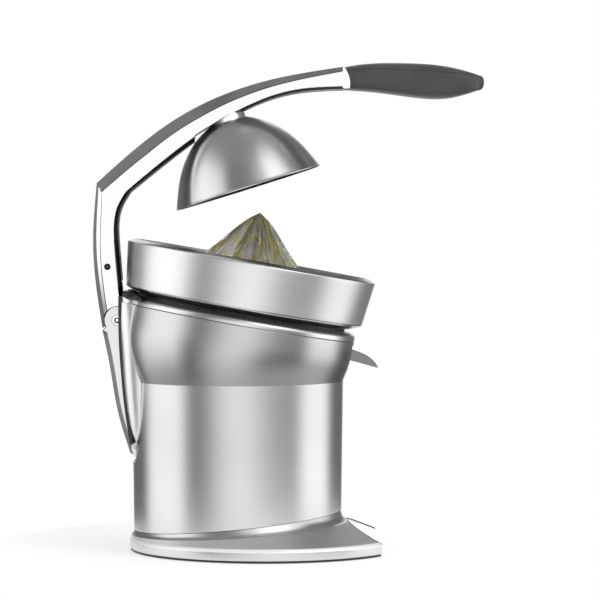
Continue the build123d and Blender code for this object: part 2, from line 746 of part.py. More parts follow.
with BuildPart() as motor_can:
    with BuildSketch(HEAD.offset(MOTOR_TOP_H)):
        with Locations(MOTOR):
            Circle(MOTOR_R)
    extrude(amount=-MOTOR_LENGTH)
    with BuildSketch(HEAD.offset(MOTOR_TOP_H - CAN_WALL)):
        with Locations(MOTOR):
            Circle(MOTOR_R - CAN_WALL)
    extrude(amount=-(MOTOR_LENGTH - 2 * CAN_WALL), mode=Mode.SUBTRACT)
    with BuildSketch(HEAD.offset(MOTOR_TOP_H)):
        with Locations(MOTOR):
            Circle(SHAFT_R + RUN)
    extrude(amount=-(MOTOR_LENGTH - 1), mode=Mode.SUBTRACT)

with BuildPart() as motor_stator:
    with BuildSketch(HEAD.offset(CORE_TOP_H)):
        with Locations(MOTOR):
            Circle(MOTOR_R - CAN_WALL)
            Circle(CORE_R + 0.8, mode=Mode.SUBTRACT)
    extrude(amount=-CORE_LENGTH)

with BuildPart() as motor_shaft:
    with BuildSketch(HEAD.offset(MOTOR_TOP_H - MOTOR_LENGTH + 1.5)):
        with Locations(MOTOR):
            Circle(SHAFT_R)
    extrude(amount=MOTOR_LENGTH + 11)
    with BuildSketch(head_at(MOTOR, WHEEL_B_H - 1.5)):
        with BuildLine():
            Polyline(
                *gear_outline(MOTOR_MODULE, PINION_TEETH, to_motor + math.pi + half_tooth),
                close=True,
            )
        make_face()
    extrude(amount=9)

with BuildPart() as rotor_core:
    with BuildSketch(HEAD.offset(CORE_TOP_H)):
        with Locations(MOTOR):
            Circle(CORE_R)
            Circle(SHAFT_R + 0.02, mode=Mode.SUBTRACT)
    extrude(amount=-CORE_LENGTH)

with BuildPart() as cooling_fan:
    with BuildSketch(HEAD.offset(MOTOR_TOP_H - 12)):
        with Locations(MOTOR):
            Circle(7)
            with PolarLocations(15, 8):
                Rectangle(20, 1.6)
            Circle(SHAFT_R + 0.02, mode=Mode.SUBTRACT)
    extrude(amount=7)

# Start switch under the spindle
PLUNGER_R = 1.8

with BuildPart() as start_switch:
    with BuildSketch(HEAD.offset(CASE_FLOOR_H - 0.1)):
        with Locations((0, -5)):
            Rectangle(26, 16)
    extrude(amount=-22)
    with BuildSketch(HEAD.offset(CASE_FLOOR_H)):
        Circle(PLUNGER_R + RUN)
    extrude(amount=-14, mode=Mode.SUBTRACT)

with BuildPart() as switch_plunger:
    with BuildSketch(HEAD.offset(JOURNAL_END_H - 0.1)):
        Circle(PLUNGER_R)
    extrude(amount=-11)

with BuildPart() as motor_screws:
    with BuildSketch(HEAD.offset(CASE_FLOOR_H + CASE_WALL)):
        with Locations(MOTOR):
            with PolarLocations(14, 2):
                Circle(2.6)
    extrude(amount=1.8)

with BuildPart() as gearbox_screws:
    with BuildSketch(HEAD.offset(CASE_FLOOR_H - 2.2)):
        with Locations((-40.8, 0), (24, -33), (50.5, 56)):
            Circle(2.6)
    extrude(amount=2.1)

# ---- Chute and spout ----
SPOUT_PIN = (97.5, 178.5)
SPOUT_PIN_R = 1.5
SPOUT_HALF = 13.4
CHUTE_U = 86.0
CHUTE_HALF = 17.0
CHUTE_INSIDE_HALF = 14.4

with BuildPart() as juice_chute:
    with BuildSketch(HEAD.offset(-2)):
        with Locations((CHUTE_U, 0)):
            Rectangle(30, 2 * CHUTE_HALF)
    extrude(amount=17)
    with BuildSketch(HEAD):
        with Locations((CHUTE_U, 0)):
            Rectangle(26, 2 * CHUTE_INSIDE_HALF)
    extrude(amount=20, mode=Mode.SUBTRACT)
    with BuildSketch(HEAD.offset(-3)):
        with Locations((CHUTE_U + 15, 0)):
            Rectangle(18, 2 * CHUTE_INSIDE_HALF)
    extrude(amount=22, mode=Mode.SUBTRACT)
    with BuildSketch(SIDE):
        with Locations(SPOUT_PIN):
            Circle(SPOUT_PIN_R)
    extrude(amount=CHUTE_HALF + 1, both=True, mode=Mode.SUBTRACT)

with BuildPart() as spout_pins:
    for side in (1, -1):
        with BuildSketch(SIDE.offset(side * (SPOUT_HALF - STEEL))):
            with Locations(SPOUT_PIN):
                Circle(SPOUT_PIN_R)
        extrude(amount=side * 5.0)

with BuildPart() as spout:
    with BuildSketch(SIDE):
        with BuildLine():
            Polyline((106.4, 181.8), (94.4, 181.8), (94.4, 175.6), (105, 172.7), (128.1, 166.4))
            Spline((128.1, 166.4), (126.7, 169.6), (119, 176.6), (106.4, 181.8))
        make_face()
    extrude(amount=SPOUT_HALF, both=True)
    with BuildSketch(SIDE):
        with BuildLine():
            Polyline(
                (90, 178.6), (105, 174.5), (128.0, 168.2), (140, 170), (140, 190), (90, 190), close=True
            )
        make_face()
    extrude(amount=SPOUT_HALF - STEEL, both=True, mode=Mode.SUBTRACT)
    with BuildSketch(SIDE):
        with Locations(SPOUT_PIN):
            Circle(SPOUT_PIN_R + RUN)
    extrude(amount=20, both=True, mode=Mode.SUBTRACT)

# ---- Lever ----
dome_points = [(DOME_R, 0), (54.4, 31.6), (31.8, 55.8), (0, DOME_HEIGHT)]

with BuildPart() as dome_full:
    with BuildSketch(DOME_SIDE):
        with BuildLine():
            Spline(*dome_points, tangents=[(-0.3, 1), (-1, 0)])
            Polyline(dome_points[-1], (0, 0), dome_points[0])
        make_face()
    revolve(axis=DOME_AXIS)

GRIP_X = 97.0
ARM_END_R = 12.9  # the arm's hollow end round the link's knuckle
BOSS_R = 17.3
BOSS_H = 62.0  # about where the boss meets the dome
BOSS_RISE = 7.0  # how far the boss reaches above the dome's top
DOME_SCREW_R = 2.6

outer_arm = [(-124.1, 212.3), (-129.5, 251.9), (-131.0, 278.2), (-127.7, 334.8)]
top_arm = [(-127.7, 334.8), (-52.5, 394.9), (22.7, 426.5), (GRIP_X, 440.3)]
under_arm = [(GRIP_X, 420.1), (45.3, 415.2), (-39.0, 372.4), (-97.2, 326.7)]
inner_arm = [(-97.2, 326.7), (-105.6, 312.0), (-107.8, 278.2), (-104.2, 237.4)]
# Notch in the arm's underside, in which the dome's boss sits
boss_notch = [
    (-39.9, 366.0),
    (-38.6, 378.2),
    (-31.2, 382.9),
    (-10.4, 395.1),
    (-1.2, 400.0),
    (3.9, 402.2),
    (8.0, 390.0),
]

with BuildPart() as lever_arm:
    with BuildSketch(SIDE):
        with BuildLine():
            Line(at(KNUCKLE, 172, TONGUE_R), outer_arm[0])
            Spline(*outer_arm)
            Spline(*top_arm)
            Line(top_arm[-1], under_arm[0])
            Spline(*under_arm)
            Spline(*inner_arm)
            Polyline(inner_arm[-1], at(KNUCKLE, 60, ARM_END_R + 0.8), at(KNUCKLE, 50, TONGUE_R))
            ThreePointArc(
                at(KNUCKLE, 50, TONGUE_R), at(KNUCKLE, -70, TONGUE_R), at(KNUCKLE, 172, TONGUE_R)
            )
        make_face()
    extrude(amount=ARM_HALF, both=True)
    for side in (1, -1):
        with BuildSketch(SIDE.offset(side * TONGUE_OUT)):
            with Locations(KNUCKLE):
                Circle(ARM_END_R)
        extrude(amount=side * 10, mode=Mode.SUBTRACT)
    with BuildSketch(SIDE):
        with BuildLine():
            Polyline(
                at(KNUCKLE, 200, 30),
                (-118.5, 214),
                (-121.5, 238),
                (-127.3, 256),
                (-126.4, 268.5),
                (-60, 268.5),
                (-60, 190),
                at(KNUCKLE, 240, 40),
                close=True,
            )
        make_face()
    extrude(amount=TONGUE_IN, both=True, mode=Mode.SUBTRACT)
    with BuildSketch(SIDE):
        with BuildLine():
            Polyline(
                at(KNUCKLE, 172, TAIL_R),
                (-120.8, 214.5),
                (-124.0, 214.5),
                outer_arm[0],
                (-123.5, 207.5),
                (-122.6, 203.2),
                at(KNUCKLE, 207, TAIL_R),
            )
            ThreePointArc(at(KNUCKLE, 207, TAIL_R), at(KNUCKLE, 190, TAIL_R), at(KNUCKLE, 172, TAIL_R))
        make_face()
    extrude(amount=TAIL_HALF, both=True)
    with BuildSketch(SIDE):
        with Locations(KNUCKLE):
            Circle(KNUCKLE_PIN_R + RUN)
        with Locations(ARM_PIVOT):
            Circle(LINK_PIN_R)
    extrude(amount=30, both=True, mode=Mode.SUBTRACT)
    with BuildSketch(SIDE):
        with BuildLine():
            Polyline(*boss_notch, close=True)
        make_face()
    extrude(amount=ARM_HALF + 1, both=True, mode=Mode.SUBTRACT)
    with BuildSketch(DOME):
        Circle(BOSS_R + 0.1)
    extrude(amount=DOME_HEIGHT + BOSS_RISE, mode=Mode.SUBTRACT)
    with BuildSketch(DOME):
        Circle(3.0)
    extrude(amount=DOME_HEIGHT + 13, mode=Mode.SUBTRACT)
    add(dome_full.part, mode=Mode.SUBTRACT)

# Link between the body and the knuckle: two side plates and a back
outer_link = [(-122.6, 201.0), (-115.9, 168.4), (-109.0, 128.6), (-97.6, 90.0)]
LINK_FOOT_R = 8.5
LINK_BACK_WALL = 3.2
LINK_BACK_TOP_Z = 196.0  # leaves room for the arm's tail

with BuildPart() as rear_link:
    with BuildSketch(SIDE):
        with BuildLine():
            Spline(*outer_link)
            Polyline(outer_link[-1], at(LINK_PIVOT, 250, LINK_FOOT_R))
            ThreePointArc(
                at(LINK_PIVOT, 250, LINK_FOOT_R),
                at(LINK_PIVOT, 300, LINK_FOOT_R),
                at(LINK_PIVOT, 5, LINK_FOOT_R),
            )
            Line(at(LINK_PIVOT, 5, LINK_FOOT_R), at(KNUCKLE, -8, KNUCKLE_R))
            ThreePointArc(
                at(KNUCKLE, -8, KNUCKLE_R), at(KNUCKLE, 100, KNUCKLE_R), at(KNUCKLE, 209, KNUCKLE_R)
            )
            Line(at(KNUCKLE, 209, KNUCKLE_R), outer_link[0])
        make_face()
    extrude(amount=ARM_HALF, both=True)
    with BuildSketch(SIDE):
        with BuildLine():
            Spline(*[(x + LINK_BACK_WALL, z) for x, z in outer_link])
            Polyline(
                (outer_link[-1][0] + LINK_BACK_WALL, outer_link[-1][1]),
                (-70, 80),
                (-70, 240),
                (outer_link[0][0] + LINK_BACK_WALL, 240),
                (outer_link[0][0] + LINK_BACK_WALL, outer_link[0][1]),
            )
        make_face()
    extrude(amount=TONGUE_OUT + GAP, both=True, mode=Mode.SUBTRACT)
    with BuildSketch(SIDE):
        with Locations((-120, LINK_BACK_TOP_Z)):
            Rectangle(40, 40, align=(Align.CENTER, Align.MIN))
    extrude(amount=TONGUE_OUT + GAP, both=True, mode=Mode.SUBTRACT)
    with BuildSketch(SIDE):
        with Locations(KNUCKLE):
            Circle(TONGUE_R + 0.6)
    extrude(amount=TONGUE_OUT + GAP, both=True, mode=Mode.SUBTRACT)
    with BuildSketch(SIDE):
        with Locations(KNUCKLE):
            Circle(KNUCKLE_PIN_R + RUN)
        with Locations(LINK_PIVOT):
            Circle(LINK_PIN_R + RUN)
    extrude(amount=30, both=True, mode=Mode.SUBTRACT)

with BuildPart() as knuckle_pin:
    with BuildSketch(SIDE):
        with Locations(KNUCKLE):
            Circle(KNUCKLE_PIN_R)
    extrude(amount=ARM_HALF - 0.2, both=True)
    for side in (1, -1):
        with BuildSketch(SIDE.offset(side * (ARM_HALF - 1.2))):
            with Locations(KNUCKLE):
                Circle(2.6)
        extrude(amount=side * 2, mode=Mode.SUBTRACT)

with BuildPart() as link_pin:
    with BuildSketch(SIDE):
        with Locations(LINK_PIVOT):
            Circle(LINK_PIN_R)
    extrude(amount=CHANNEL_HALF + 2, both=True)

with BuildPart() as guide_pin:
    with BuildSketch(SIDE):
        with Locations(GUIDE):
            Circle(LINK_PIN_R)
    extrude(amount=CHANNEL_HALF + 2, both=True)

with BuildPart() as arm_pin:
    with BuildSketch(SIDE):
        with Locations(ARM_PIVOT):
            Circle(LINK_PIN_R)
    extrude(amount=ARM_HALF - 0.6, both=True)

# Front link: an eye on the arm's pin, and a slot that the guide pin runs in
link_angle = math.degrees(math.atan2(GUIDE[1] - ARM_PIVOT[1], GUIDE[0] - ARM_PIVOT[0]))
link_reach = math.dist(GUIDE, ARM_PIVOT)
slot_start = at(ARM_PIVOT, link_angle, link_reach - 1.0)
slot_end = at(ARM_PIVOT, link_angle, link_reach + GUIDE_TRAVEL)
neck = at(ARM_PIVOT, link_angle, link_reach - 14.0)
LINK_WALL = 3.0
EYE_R = 6.0
NECK_R = 4.4

with BuildPart() as front_link:
    for start, start_r, end, end_r in (
        (ARM_PIVOT, EYE_R, neck, NECK_R),
        (neck, NECK_R, slot_start, GUIDE_SLOT_HALF + LINK_WALL),
        (slot_start, GUIDE_SLOT_HALF + LINK_WALL, slot_end, GUIDE_SLOT_HALF + LINK_WALL),
    ):
        with BuildSketch(SIDE):
            with Locations(start):
                Circle(start_r)
            with Locations(end):
                Circle(end_r)
            make_hull()
        extrude(amount=FRONT_LINK_HALF, both=True)
    with BuildSketch(SIDE):
        with Locations(ARM_PIVOT):
            Circle(LINK_PIN_R + RUN)
    extrude(amount=20, both=True, mode=Mode.SUBTRACT)
    with BuildSketch(SIDE):
        with Locations(slot_start, slot_end):
            Circle(GUIDE_SLOT_HALF)
        make_hull()
    extrude(amount=20, both=True, mode=Mode.SUBTRACT)

# Dome, its boss and its screw
with BuildPart() as press_dome:
    with BuildSketch(DOME_SIDE):
        with BuildLine():
            Spline(*dome_points, tangents=[(-0.3, 1), (-1, 0)])
            Polyline(dome_points[-1], (0, DOME_HEIGHT - STEEL))
            Spline(
                (0, DOME_HEIGHT - STEEL),
                (30.7, 54.6),
                (53.0, 30.8),
                (DOME_R - STEEL, 0),
                tangents=[(1, 0), (0.3, -1)],
            )
            Line((DOME_R - STEEL, 0), (DOME_R, 0))
        make_face()
    revolve(axis=DOME_AXIS)
    with BuildSketch(DOME):
        Circle(DOME_SCREW_R)
    extrude(amount=DOME_HEIGHT + 5, mode=Mode.SUBTRACT)

with BuildPart() as dome_boss:
    with BuildSketch(DOME.offset(BOSS_H - 6)):
        Circle(BOSS_R)
    extrude(amount=DOME_HEIGHT + BOSS_RISE - BOSS_H + 6)
    add(dome_full.part, mode=Mode.SUBTRACT)
    with BuildSketch(DOME):
        Circle(DOME_SCREW_R)
    extrude(amount=DOME_HEIGHT + 20, mode=Mode.SUBTRACT)

with BuildPart() as dome_screw:
    with BuildSketch(DOME.offset(DOME_HEIGHT - STEEL - 3.0)):
        Circle(5.0)
    extrude(amount=2.4)
    with BuildSketch(DOME.offset(DOME_HEIGHT - STEEL - 0.8)):
        Circle(DOME_SCREW_R - 0.1)
    extrude(amount=13)

# Grip
grip_top = [(GRIP_X + 0.3, 440.3), (111.1, 442.6), (147.9, 444.1), (192.2, 440.7), (221.2, 433.2)]
grip_under = [(220.7, 420.0), (192.2, 412.6), (162.7, 413.3), (123.4, 418.3), (GRIP_X + 0.3, 420.1)]
TANG_LENGTH = 70.0
TANG_WIDTH = 20.0
TANG_THICK = 7.0
GRIP_END = Plane(origin=(BODY_X + GRIP_X, 0, 430.2), x_dir=(0, 1, 0), z_dir=(1, 0, 0))

with BuildPart() as handle_grip:
    with BuildSketch(SIDE):
        with BuildLine():
            Spline(*grip_top)
            Spline(grip_top[-1], (225.1, 427.8), grip_under[0])
            Spline(*grip_under)
            Line(grip_under[-1], grip_top[0])
        make_face()
    extrude(amount=ARM_HALF + 1, both=True)
    with BuildSketch(GRIP_END.offset(-1)):
        Rectangle(TANG_WIDTH + 2 * GAP, TANG_THICK + 2 * GAP)
    extrude(amount=TANG_LENGTH + 2, mode=Mode.SUBTRACT)

with BuildPart() as grip_tang:
    with BuildSketch(GRIP_END.offset(0.05)):
        Rectangle(TANG_WIDTH, TANG_THICK)
    extrude(amount=TANG_LENGTH)

pieces = {
    "base_casting": base_casting,
    "base_plate": base_plate,
    "rubber_feet": rubber_feet,
    "base_screws": base_screws,
    "body_shell": body_shell,
    "rear_spine": rear_spine,
    "collar_ring": collar_ring,
    "top_deck": top_deck,
    "spine_cap": spine_cap,
    "tie_posts": tie_posts,
    "cord_gland": cord_gland,
    "juice_bowl": juice_bowl,
    "strainer_basket": strainer_basket,
    "reamer_cone": reamer_cone,
    "drive_spindle": drive_spindle,
    "spindle_gear": spindle_gear,
    "idler_gear": idler_gear,
    "idler_pin": idler_pin,
    "gearbox_case": gearbox_case,
    "gearbox_cover": gearbox_cover,
    "thrust_washer": thrust_washer,
    "return_spring": return_spring,
    "spindle_bush": spindle_bush,
    "spindle_seal": spindle_seal,
    "motor_can": motor_can,
    "motor_stator": motor_stator,
    "motor_shaft": motor_shaft,
    "rotor_core": rotor_core,
    "cooling_fan": cooling_fan,
    "start_switch": start_switch,
    "switch_plunger": switch_plunger,
    "motor_screws": motor_screws,
    "gearbox_screws": gearbox_screws,
    "juice_chute": juice_chute,
    "spout_pins": spout_pins,
    "spout": spout,
    "lever_arm": lever_arm,
    "rear_link": rear_link,
    "knuckle_pin": knuckle_pin,
    "link_pin": link_pin,
    "guide_pin": guide_pin,
    "arm_pin": arm_pin,
    "front_link": front_link,
    "press_dome": press_dome,
    "dome_boss": dome_boss,
    "dome_screw": dome_screw,
    "handle_grip": handle_grip,
    "grip_tang": grip_tang,
}
for name, piece in pieces.items():
    piece.part.label = name
    export_step(piece.part, f"parts/{name}.step")
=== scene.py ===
import math

import bmesh
import bpy
import numpy as np
from mathutils import Matrix, Vector


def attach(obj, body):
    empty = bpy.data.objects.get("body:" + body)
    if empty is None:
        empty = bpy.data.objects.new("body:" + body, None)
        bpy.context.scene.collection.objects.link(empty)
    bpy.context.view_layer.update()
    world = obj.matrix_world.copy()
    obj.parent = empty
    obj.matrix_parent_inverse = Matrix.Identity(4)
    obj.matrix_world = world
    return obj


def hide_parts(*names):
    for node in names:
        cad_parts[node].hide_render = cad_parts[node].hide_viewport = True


# Looks of a lever citrus press. Shapes are written in millimetres from the body's upright
# axis (x to the front, y to the far side, z up from the table) and turned to metres by place().

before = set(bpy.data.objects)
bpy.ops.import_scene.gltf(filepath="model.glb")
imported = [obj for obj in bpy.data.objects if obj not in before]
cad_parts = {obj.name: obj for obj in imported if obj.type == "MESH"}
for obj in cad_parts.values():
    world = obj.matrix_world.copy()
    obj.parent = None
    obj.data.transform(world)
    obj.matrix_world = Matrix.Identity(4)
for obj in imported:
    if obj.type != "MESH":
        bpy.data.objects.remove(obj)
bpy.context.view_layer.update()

# ---- Frame shared with the construction ----
MM = 0.001
BODY_X = -47.0
TILT = math.radians(10.0)
HEAD_Z = 190.0
DOME_LEAN = math.radians(17.4)
DOME_CENTRE = (9.9, 330.2)
KNUCKLE = (-109.1, 210.2)
LINK_PIVOT = (-92.0, 96.1)
ARM_PIVOT = (-117.9, 258.8)


def place(x, y, z):
    """World point in metres of a point given in millimetres from the body's axis."""
    return Vector(((BODY_X + x) * MM, y * MM, z * MM))


def leaning(origin, angle):
    """Matrix from a frame leaning to the front by angle, in millimetres, to the world."""
    turn = Matrix.Rotation(angle, 4, "Y")
    return Matrix.Translation(place(*origin)) @ turn @ Matrix.Scale(MM, 4)


UPRIGHT = leaning((0, 0, 0), 0)
HEAD = leaning((0, 0, HEAD_Z), TILT)
DOME = leaning((DOME_CENTRE[0], 0, DOME_CENTRE[1]), -DOME_LEAN)


# ---- Node helpers ----
def grey(level):
    """Linear colour of a neutral grey seen as level out of 255."""
    value = (level / 255 / 12.92) if level < 10 else ((level / 255 + 0.055) / 1.055) ** 2.4
    return (value, value, value, 1)


class Nodes:
    """A node tree that is built by short calls."""

    def __init__(self, tree):
        self.tree = tree

    def add(self, kind, inputs=None, **settings):
        node = self.tree.nodes.new(kind)
        for key, value in settings.items():
            setattr(node, key, value)
        for key, value in (inputs or {}).items():
            self.set(node.inputs[key], value)
        return node

    def set(self, socket, value):
        if isinstance(value, bpy.types.Node):
            value = value.outputs[0]
        if isinstance(value, bpy.types.NodeSocket):
            self.tree.links.new(value, socket)
        else:
            socket.default_value = value

    def math(self, operation, *values, clamp=False):
        node = self.add("ShaderNodeMath", operation=operation, use_clamp=clamp)
        for socket, value in zip(node.inputs, values):
            self.set(socket, value)
        return node

    def ramp(self, value, low, high, out_low=0.0, out_high=1.0, smooth=True):
        kind = "SMOOTHSTEP" if smooth else "LINEAR"
        inputs = {"Value": value, "From Min": low, "From Max": high, "To Min": out_low, "To Max": out_high}
        return self.add("ShaderNodeMapRange", inputs, interpolation_type=kind)


def new_material(name):
    material = bpy.data.materials.new(name)
    material.use_nodes = True
    nodes = Nodes(material.node_tree)
    shader = material.node_tree.nodes["Principled BSDF"]
    return material, nodes, shader


def local_point(nodes, matrix):
    """Position in millimetres in a leaning frame, from the object's own coordinates."""
    origin = matrix.to_translation()
    angle = matrix.to_euler().y
    coordinates = nodes.add("ShaderNodeTexCoord").outputs["Object"]
    moved = nodes.add("ShaderNodeVectorMath", {0: coordinates, 1: origin}, operation="SUBTRACT")
    turned = nodes.add("ShaderNodeVectorRotate", {"Vector": moved, "Angle": -angle}, rotation_type="Y_AXIS")
    return nodes.add("ShaderNodeVectorMath", {0: turned, 1: (1 / MM,) * 3}, operation="MULTIPLY")


def noise(nodes, vector, scale, detail=2.0):
    stretched = nodes.add("ShaderNodeVectorMath", {0: vector, 1: scale}, operation="MULTIPLY")
    return nodes.add("ShaderNodeTexNoise", {"Vector": stretched, "Scale": 1.0, "Detail": detail})


def lines_round(nodes, point):
    """A vector whose third part grows along a turned surface from its rim to its pole."""
    parts = nodes.add("ShaderNodeSeparateXYZ", {0: point})
    flat = nodes.add("ShaderNodeCombineXYZ", {0: parts.outputs[0], 1: parts.outputs[1]})
    radius = nodes.add("ShaderNodeVectorMath", {0: flat}, operation="LENGTH").outputs["Value"]
    along = nodes.math("SUBTRACT", parts.outputs[2], radius)
    return nodes.add("ShaderNodeCombineXYZ", {0: parts.outputs[0], 1: parts.outputs[1], 2: along})


def brushed_steel(name, level, roughness, matrix=UPRIGHT, aniso=0.6, round_lines=False, shade=None):
    """Steel with fine lines round the frame's axis: long streaks, hair lines and faint clouds."""
    material, nodes, shader = new_material(name)
    point = local_point(nodes, matrix)
    along = lines_round(nodes, point) if round_lines else point
    hair = noise(nodes, along, (0.05, 0.05, 3.5), 3.0)
    streaks = noise(nodes, along, (0.022, 0.022, 0.7), 3.0)
    clouds = noise(nodes, point, (0.012, 0.012, 0.012), 1.0)
    grain = nodes.math("ADD", nodes.math("MULTIPLY", hair, 0.45), nodes.math("MULTIPLY", streaks, 0.55))
    tone = nodes.ramp(grain, 0.3, 0.7, 0.965, 1.035, smooth=False)
    tone = nodes.math("MULTIPLY", tone, nodes.ramp(clouds, 0.3, 0.7, 0.97, 1.03))
    # shade, when given, multiplies the tone by painted shade.
    if shade is not None:
        tone = nodes.math("MULTIPLY", tone, shade(nodes, point))
    value = nodes.math("MULTIPLY", tone, grey(level)[0])
    colour = nodes.add("ShaderNodeCombineColor", {0: value, 1: value, 2: value})
    nodes.set(shader.inputs["Base Color"], colour)
    nodes.set(shader.inputs["Roughness"], nodes.ramp(grain, 0.3, 0.7, roughness - 0.015, roughness + 0.02))
    shader.inputs["Metallic"].default_value = 1.0
    shader.inputs["Anisotropic"].default_value = aniso
    shader.inputs["Anisotropic Rotation"].default_value = 0.25
    tangent = nodes.add("ShaderNodeTangent", direction_type="RADIAL", axis="Z")
    nodes.set(shader.inputs["Tangent"], tangent)
    bump = nodes.add("ShaderNodeBump", {"Strength": 0.08, "Distance": 0.00006, "Height": grain})
    nodes.set(shader.inputs["Normal"], bump)
    return material


def cast_metal(name, level, roughness, grain=0.5, spread=0.03, metallic=1.0, coat=0.0, shade=None):
    """Cast or polished metal: fine isotropic grain and faint larger variation."""
    material, nodes, shader = new_material(name)
    point = local_point(nodes, UPRIGHT)
    fine = noise(nodes, point, (3.0, 3.0, 3.0), 3.0)
    broad = noise(nodes, point, (0.03, 0.03, 0.03), 2.0)
    tone = nodes.ramp(fine, 0.3, 0.7, 1 - spread, 1 + spread, smooth=False)
    tone = nodes.math("MULTIPLY", tone, nodes.ramp(broad, 0.3, 0.7, 1 - spread, 1 + spread))
    # shade, when given, multiplies the tone by painted shade.
    if shade is not None:
        tone = nodes.math("MULTIPLY", tone, shade(nodes, point))
    value = nodes.math("MULTIPLY", tone, grey(level)[0])
    colour = nodes.add("ShaderNodeCombineColor", {0: value, 1: value, 2: value})
    nodes.set(shader.inputs["Base Color"], colour)
    nodes.set(shader.inputs["Roughness"], nodes.ramp(broad, 0.3, 0.7, roughness * 0.85, roughness * 1.15))
    shader.inputs["Metallic"].default_value = metallic
    shader.inputs["Coat Weight"].default_value = coat
    bump = nodes.add("ShaderNodeBump", {"Strength": grain * 0.3, "Distance": 0.00005, "Height": fine})
    nodes.set(shader.inputs["Normal"], bump)
    return material


def moulded(name, colour, roughness, grain=0.4, scale=2.5, sheen=0.0):
    """Moulded plastic or rubber with a fine pebble grain."""
    material, nodes, shader = new_material(name)
    point = local_point(nodes, UPRIGHT)
    fine = noise(nodes, point, (scale,) * 3, 4.0)
    broad = noise(nodes, point, (0.04, 0.04, 0.04), 2.0)
    tone = nodes.ramp(broad, 0.3, 0.7, 0.88, 1.12)
    mixed = nodes.add(
        "ShaderNodeVectorMath", {0: colour[:3], "Scale": tone}, operation="SCALE"
    )
    nodes.set(shader.inputs["Base Color"], mixed)
    nodes.set(shader.inputs["Roughness"], nodes.ramp(fine, 0.3, 0.7, roughness - 0.05, roughness + 0.07))
    shader.inputs["Sheen Weight"].default_value = sheen
    bump = nodes.add("ShaderNodeBump", {"Strength": grain, "Distance": 0.00008, "Height": fine})
    nodes.set(shader.inputs["Normal"], bump)
    return material


FLARE_LOW = 154.6
FLARE_HIGH = 205.0


def painted_flare_shade(nodes, point):
    """Painted shade: the flare's lower part is darker, fading up to the collar."""
    height = nodes.add("ShaderNodeSeparateXYZ", {0: point}).outputs[2]
    rise = nodes.ramp(height, FLARE_LOW, FLARE_HIGH, 0.5, 0.95)
    above = nodes.math("GREATER_THAN", height, FLARE_LOW)
    lift = nodes.math("SUBTRACT", rise, 1.0)
    return nodes.math("ADD", nodes.math("MULTIPLY", above, lift), 1.0)


# Where the painted shade on the foot's slope runs, and how dark it gets.
SLOPE_BACK, SLOPE_FRONT = -30.0, 75.0
SLOPE_DARKEST = 0.58


def painted_slope_shade(nodes, point):
    """Painted shade: the foot's slope is darker towards the front."""
    front = nodes.add("ShaderNodeSeparateXYZ", {0: point}).outputs[0]
    return nodes.ramp(front, SLOPE_BACK, SLOPE_FRONT, 1.0, SLOPE_DARKEST)


def smoky_plastic():
    """Clear smoky plastic with yellow clouds of juice and pulp on it."""
    material, nodes, shader = new_material("smoky_plastic")
    point = local_point(nodes, HEAD)
    cloud = noise(nodes, point, (0.16, 0.16, 0.05), 3.0)
    tint = nodes.add(
        "ShaderNodeMix",
        {0: nodes.ramp(cloud, 0.46, 0.6), 6: (0.9, 0.9, 0.93, 1), 7: (0.95, 0.86, 0.3, 1)},
        data_type="RGBA",
    )
    nodes.set(shader.inputs["Base Color"], tint.outputs[2])
    shader.inputs["Transmission Weight"].default_value = 0.9
    shader.inputs["IOR"].default_value = 1.46
    nodes.set(shader.inputs["Roughness"], nodes.ramp(cloud, 0.3, 0.7, 0.05, 0.14))
    return material


# The body's steel carries painted shade on the flare's lower part.
BODY_STEEL = brushed_steel("body_steel", 226, 0.3, shade=painted_flare_shade)
SPINE_STEEL = brushed_steel("spine_steel", 246, 0.36, aniso=0.3)
BOWL_STEEL = brushed_steel("bowl_steel", 248, 0.38, HEAD)
DOME_STEEL = brushed_steel("dome_steel", 232, 0.29, DOME, round_lines=True)
POLISHED = cast_metal("polished_cast", 252, 0.14, 0.1, 0.01)
SATIN = cast_metal("satin_cast", 150, 0.42)
BAND_SATIN = cast_metal("band_satin", 138, 0.5)
# Lighter copy of the band's satin for the arm's top band: painted light on the upward face.
TOP_SATIN = cast_metal("top_satin_painted_light", 166, 0.5)
LIP_METAL = cast_metal("lip_metal", 226, 0.3, 0.15, 0.01)
# Bright, partly diffuse metal for the lip's rounded edge: a painted highlight.
LIP_PAINTED_HIGHLIGHT = cast_metal("lip_edge_painted_highlight", 250, 0.4, 0.1, 0.01, metallic=0.35)
# The slope's metal carries painted shade, darker towards the front.
SLOPE_STEEL = cast_metal("slope_steel", 205, 0.45, 0.2, 0.015, metallic=0.6, shade=painted_slope_shade)
# Dark metal for painted shadow lines: the arm's inner bevel, the pin recesses and the bite's edge.
SHADOW_LINE = cast_metal("painted_shadow_line", 45, 0.3, 0.3)
GREY_LINE = cast_metal("grey_line", 110, 0.4, 0.3)
LINK_SIDE = cast_metal("link_side", 236, 0.22, 0.2, 0.02)
PIN_FACE = cast_metal("pin_face", 95, 0.3, 0.2)
# Dark copy of the dome steel for its inside and the lip's underside: painted shade.
DOME_INSIDE_SHADE = brushed_steel("dome_inside_painted_shade", 70, 0.35, DOME, round_lines=True)
COLLAR_STEEL = brushed_steel("collar_steel", 240, 0.28, HEAD)
RIM_STEEL = cast_metal("rim_steel", 200, 0.2, 0.2, 0.02)
SPOUT_STEEL = cast_metal("spout_steel", 140, 0.3, 0.2, 0.02)
CAP_GLOSS = moulded("cap_gloss", (0.012, 0.012, 0.013), 0.18, 0.1)
CHROME = cast_metal("pin_steel", 200, 0.18, 0.2)
BLACK_PLASTIC = moulded("black_plastic", (0.012, 0.012, 0.013), 0.42)
GRIP_RUBBER = moulded("grip_soft", (0.048, 0.048, 0.052), 0.5, 0.5, 3.0, 0.1)
FOOT_RUBBER = moulded("foot_rubber", (0.02, 0.02, 0.02), 0.75, 0.6)
NYLON = moulded("nylon", (0.62, 0.6, 0.52), 0.45)
BRONZE = cast_metal("bronze", 170, 0.35)
MOTOR_PAINT = cast_metal("motor_paint", 130, 0.45)
SMOKY = smoky_plastic()

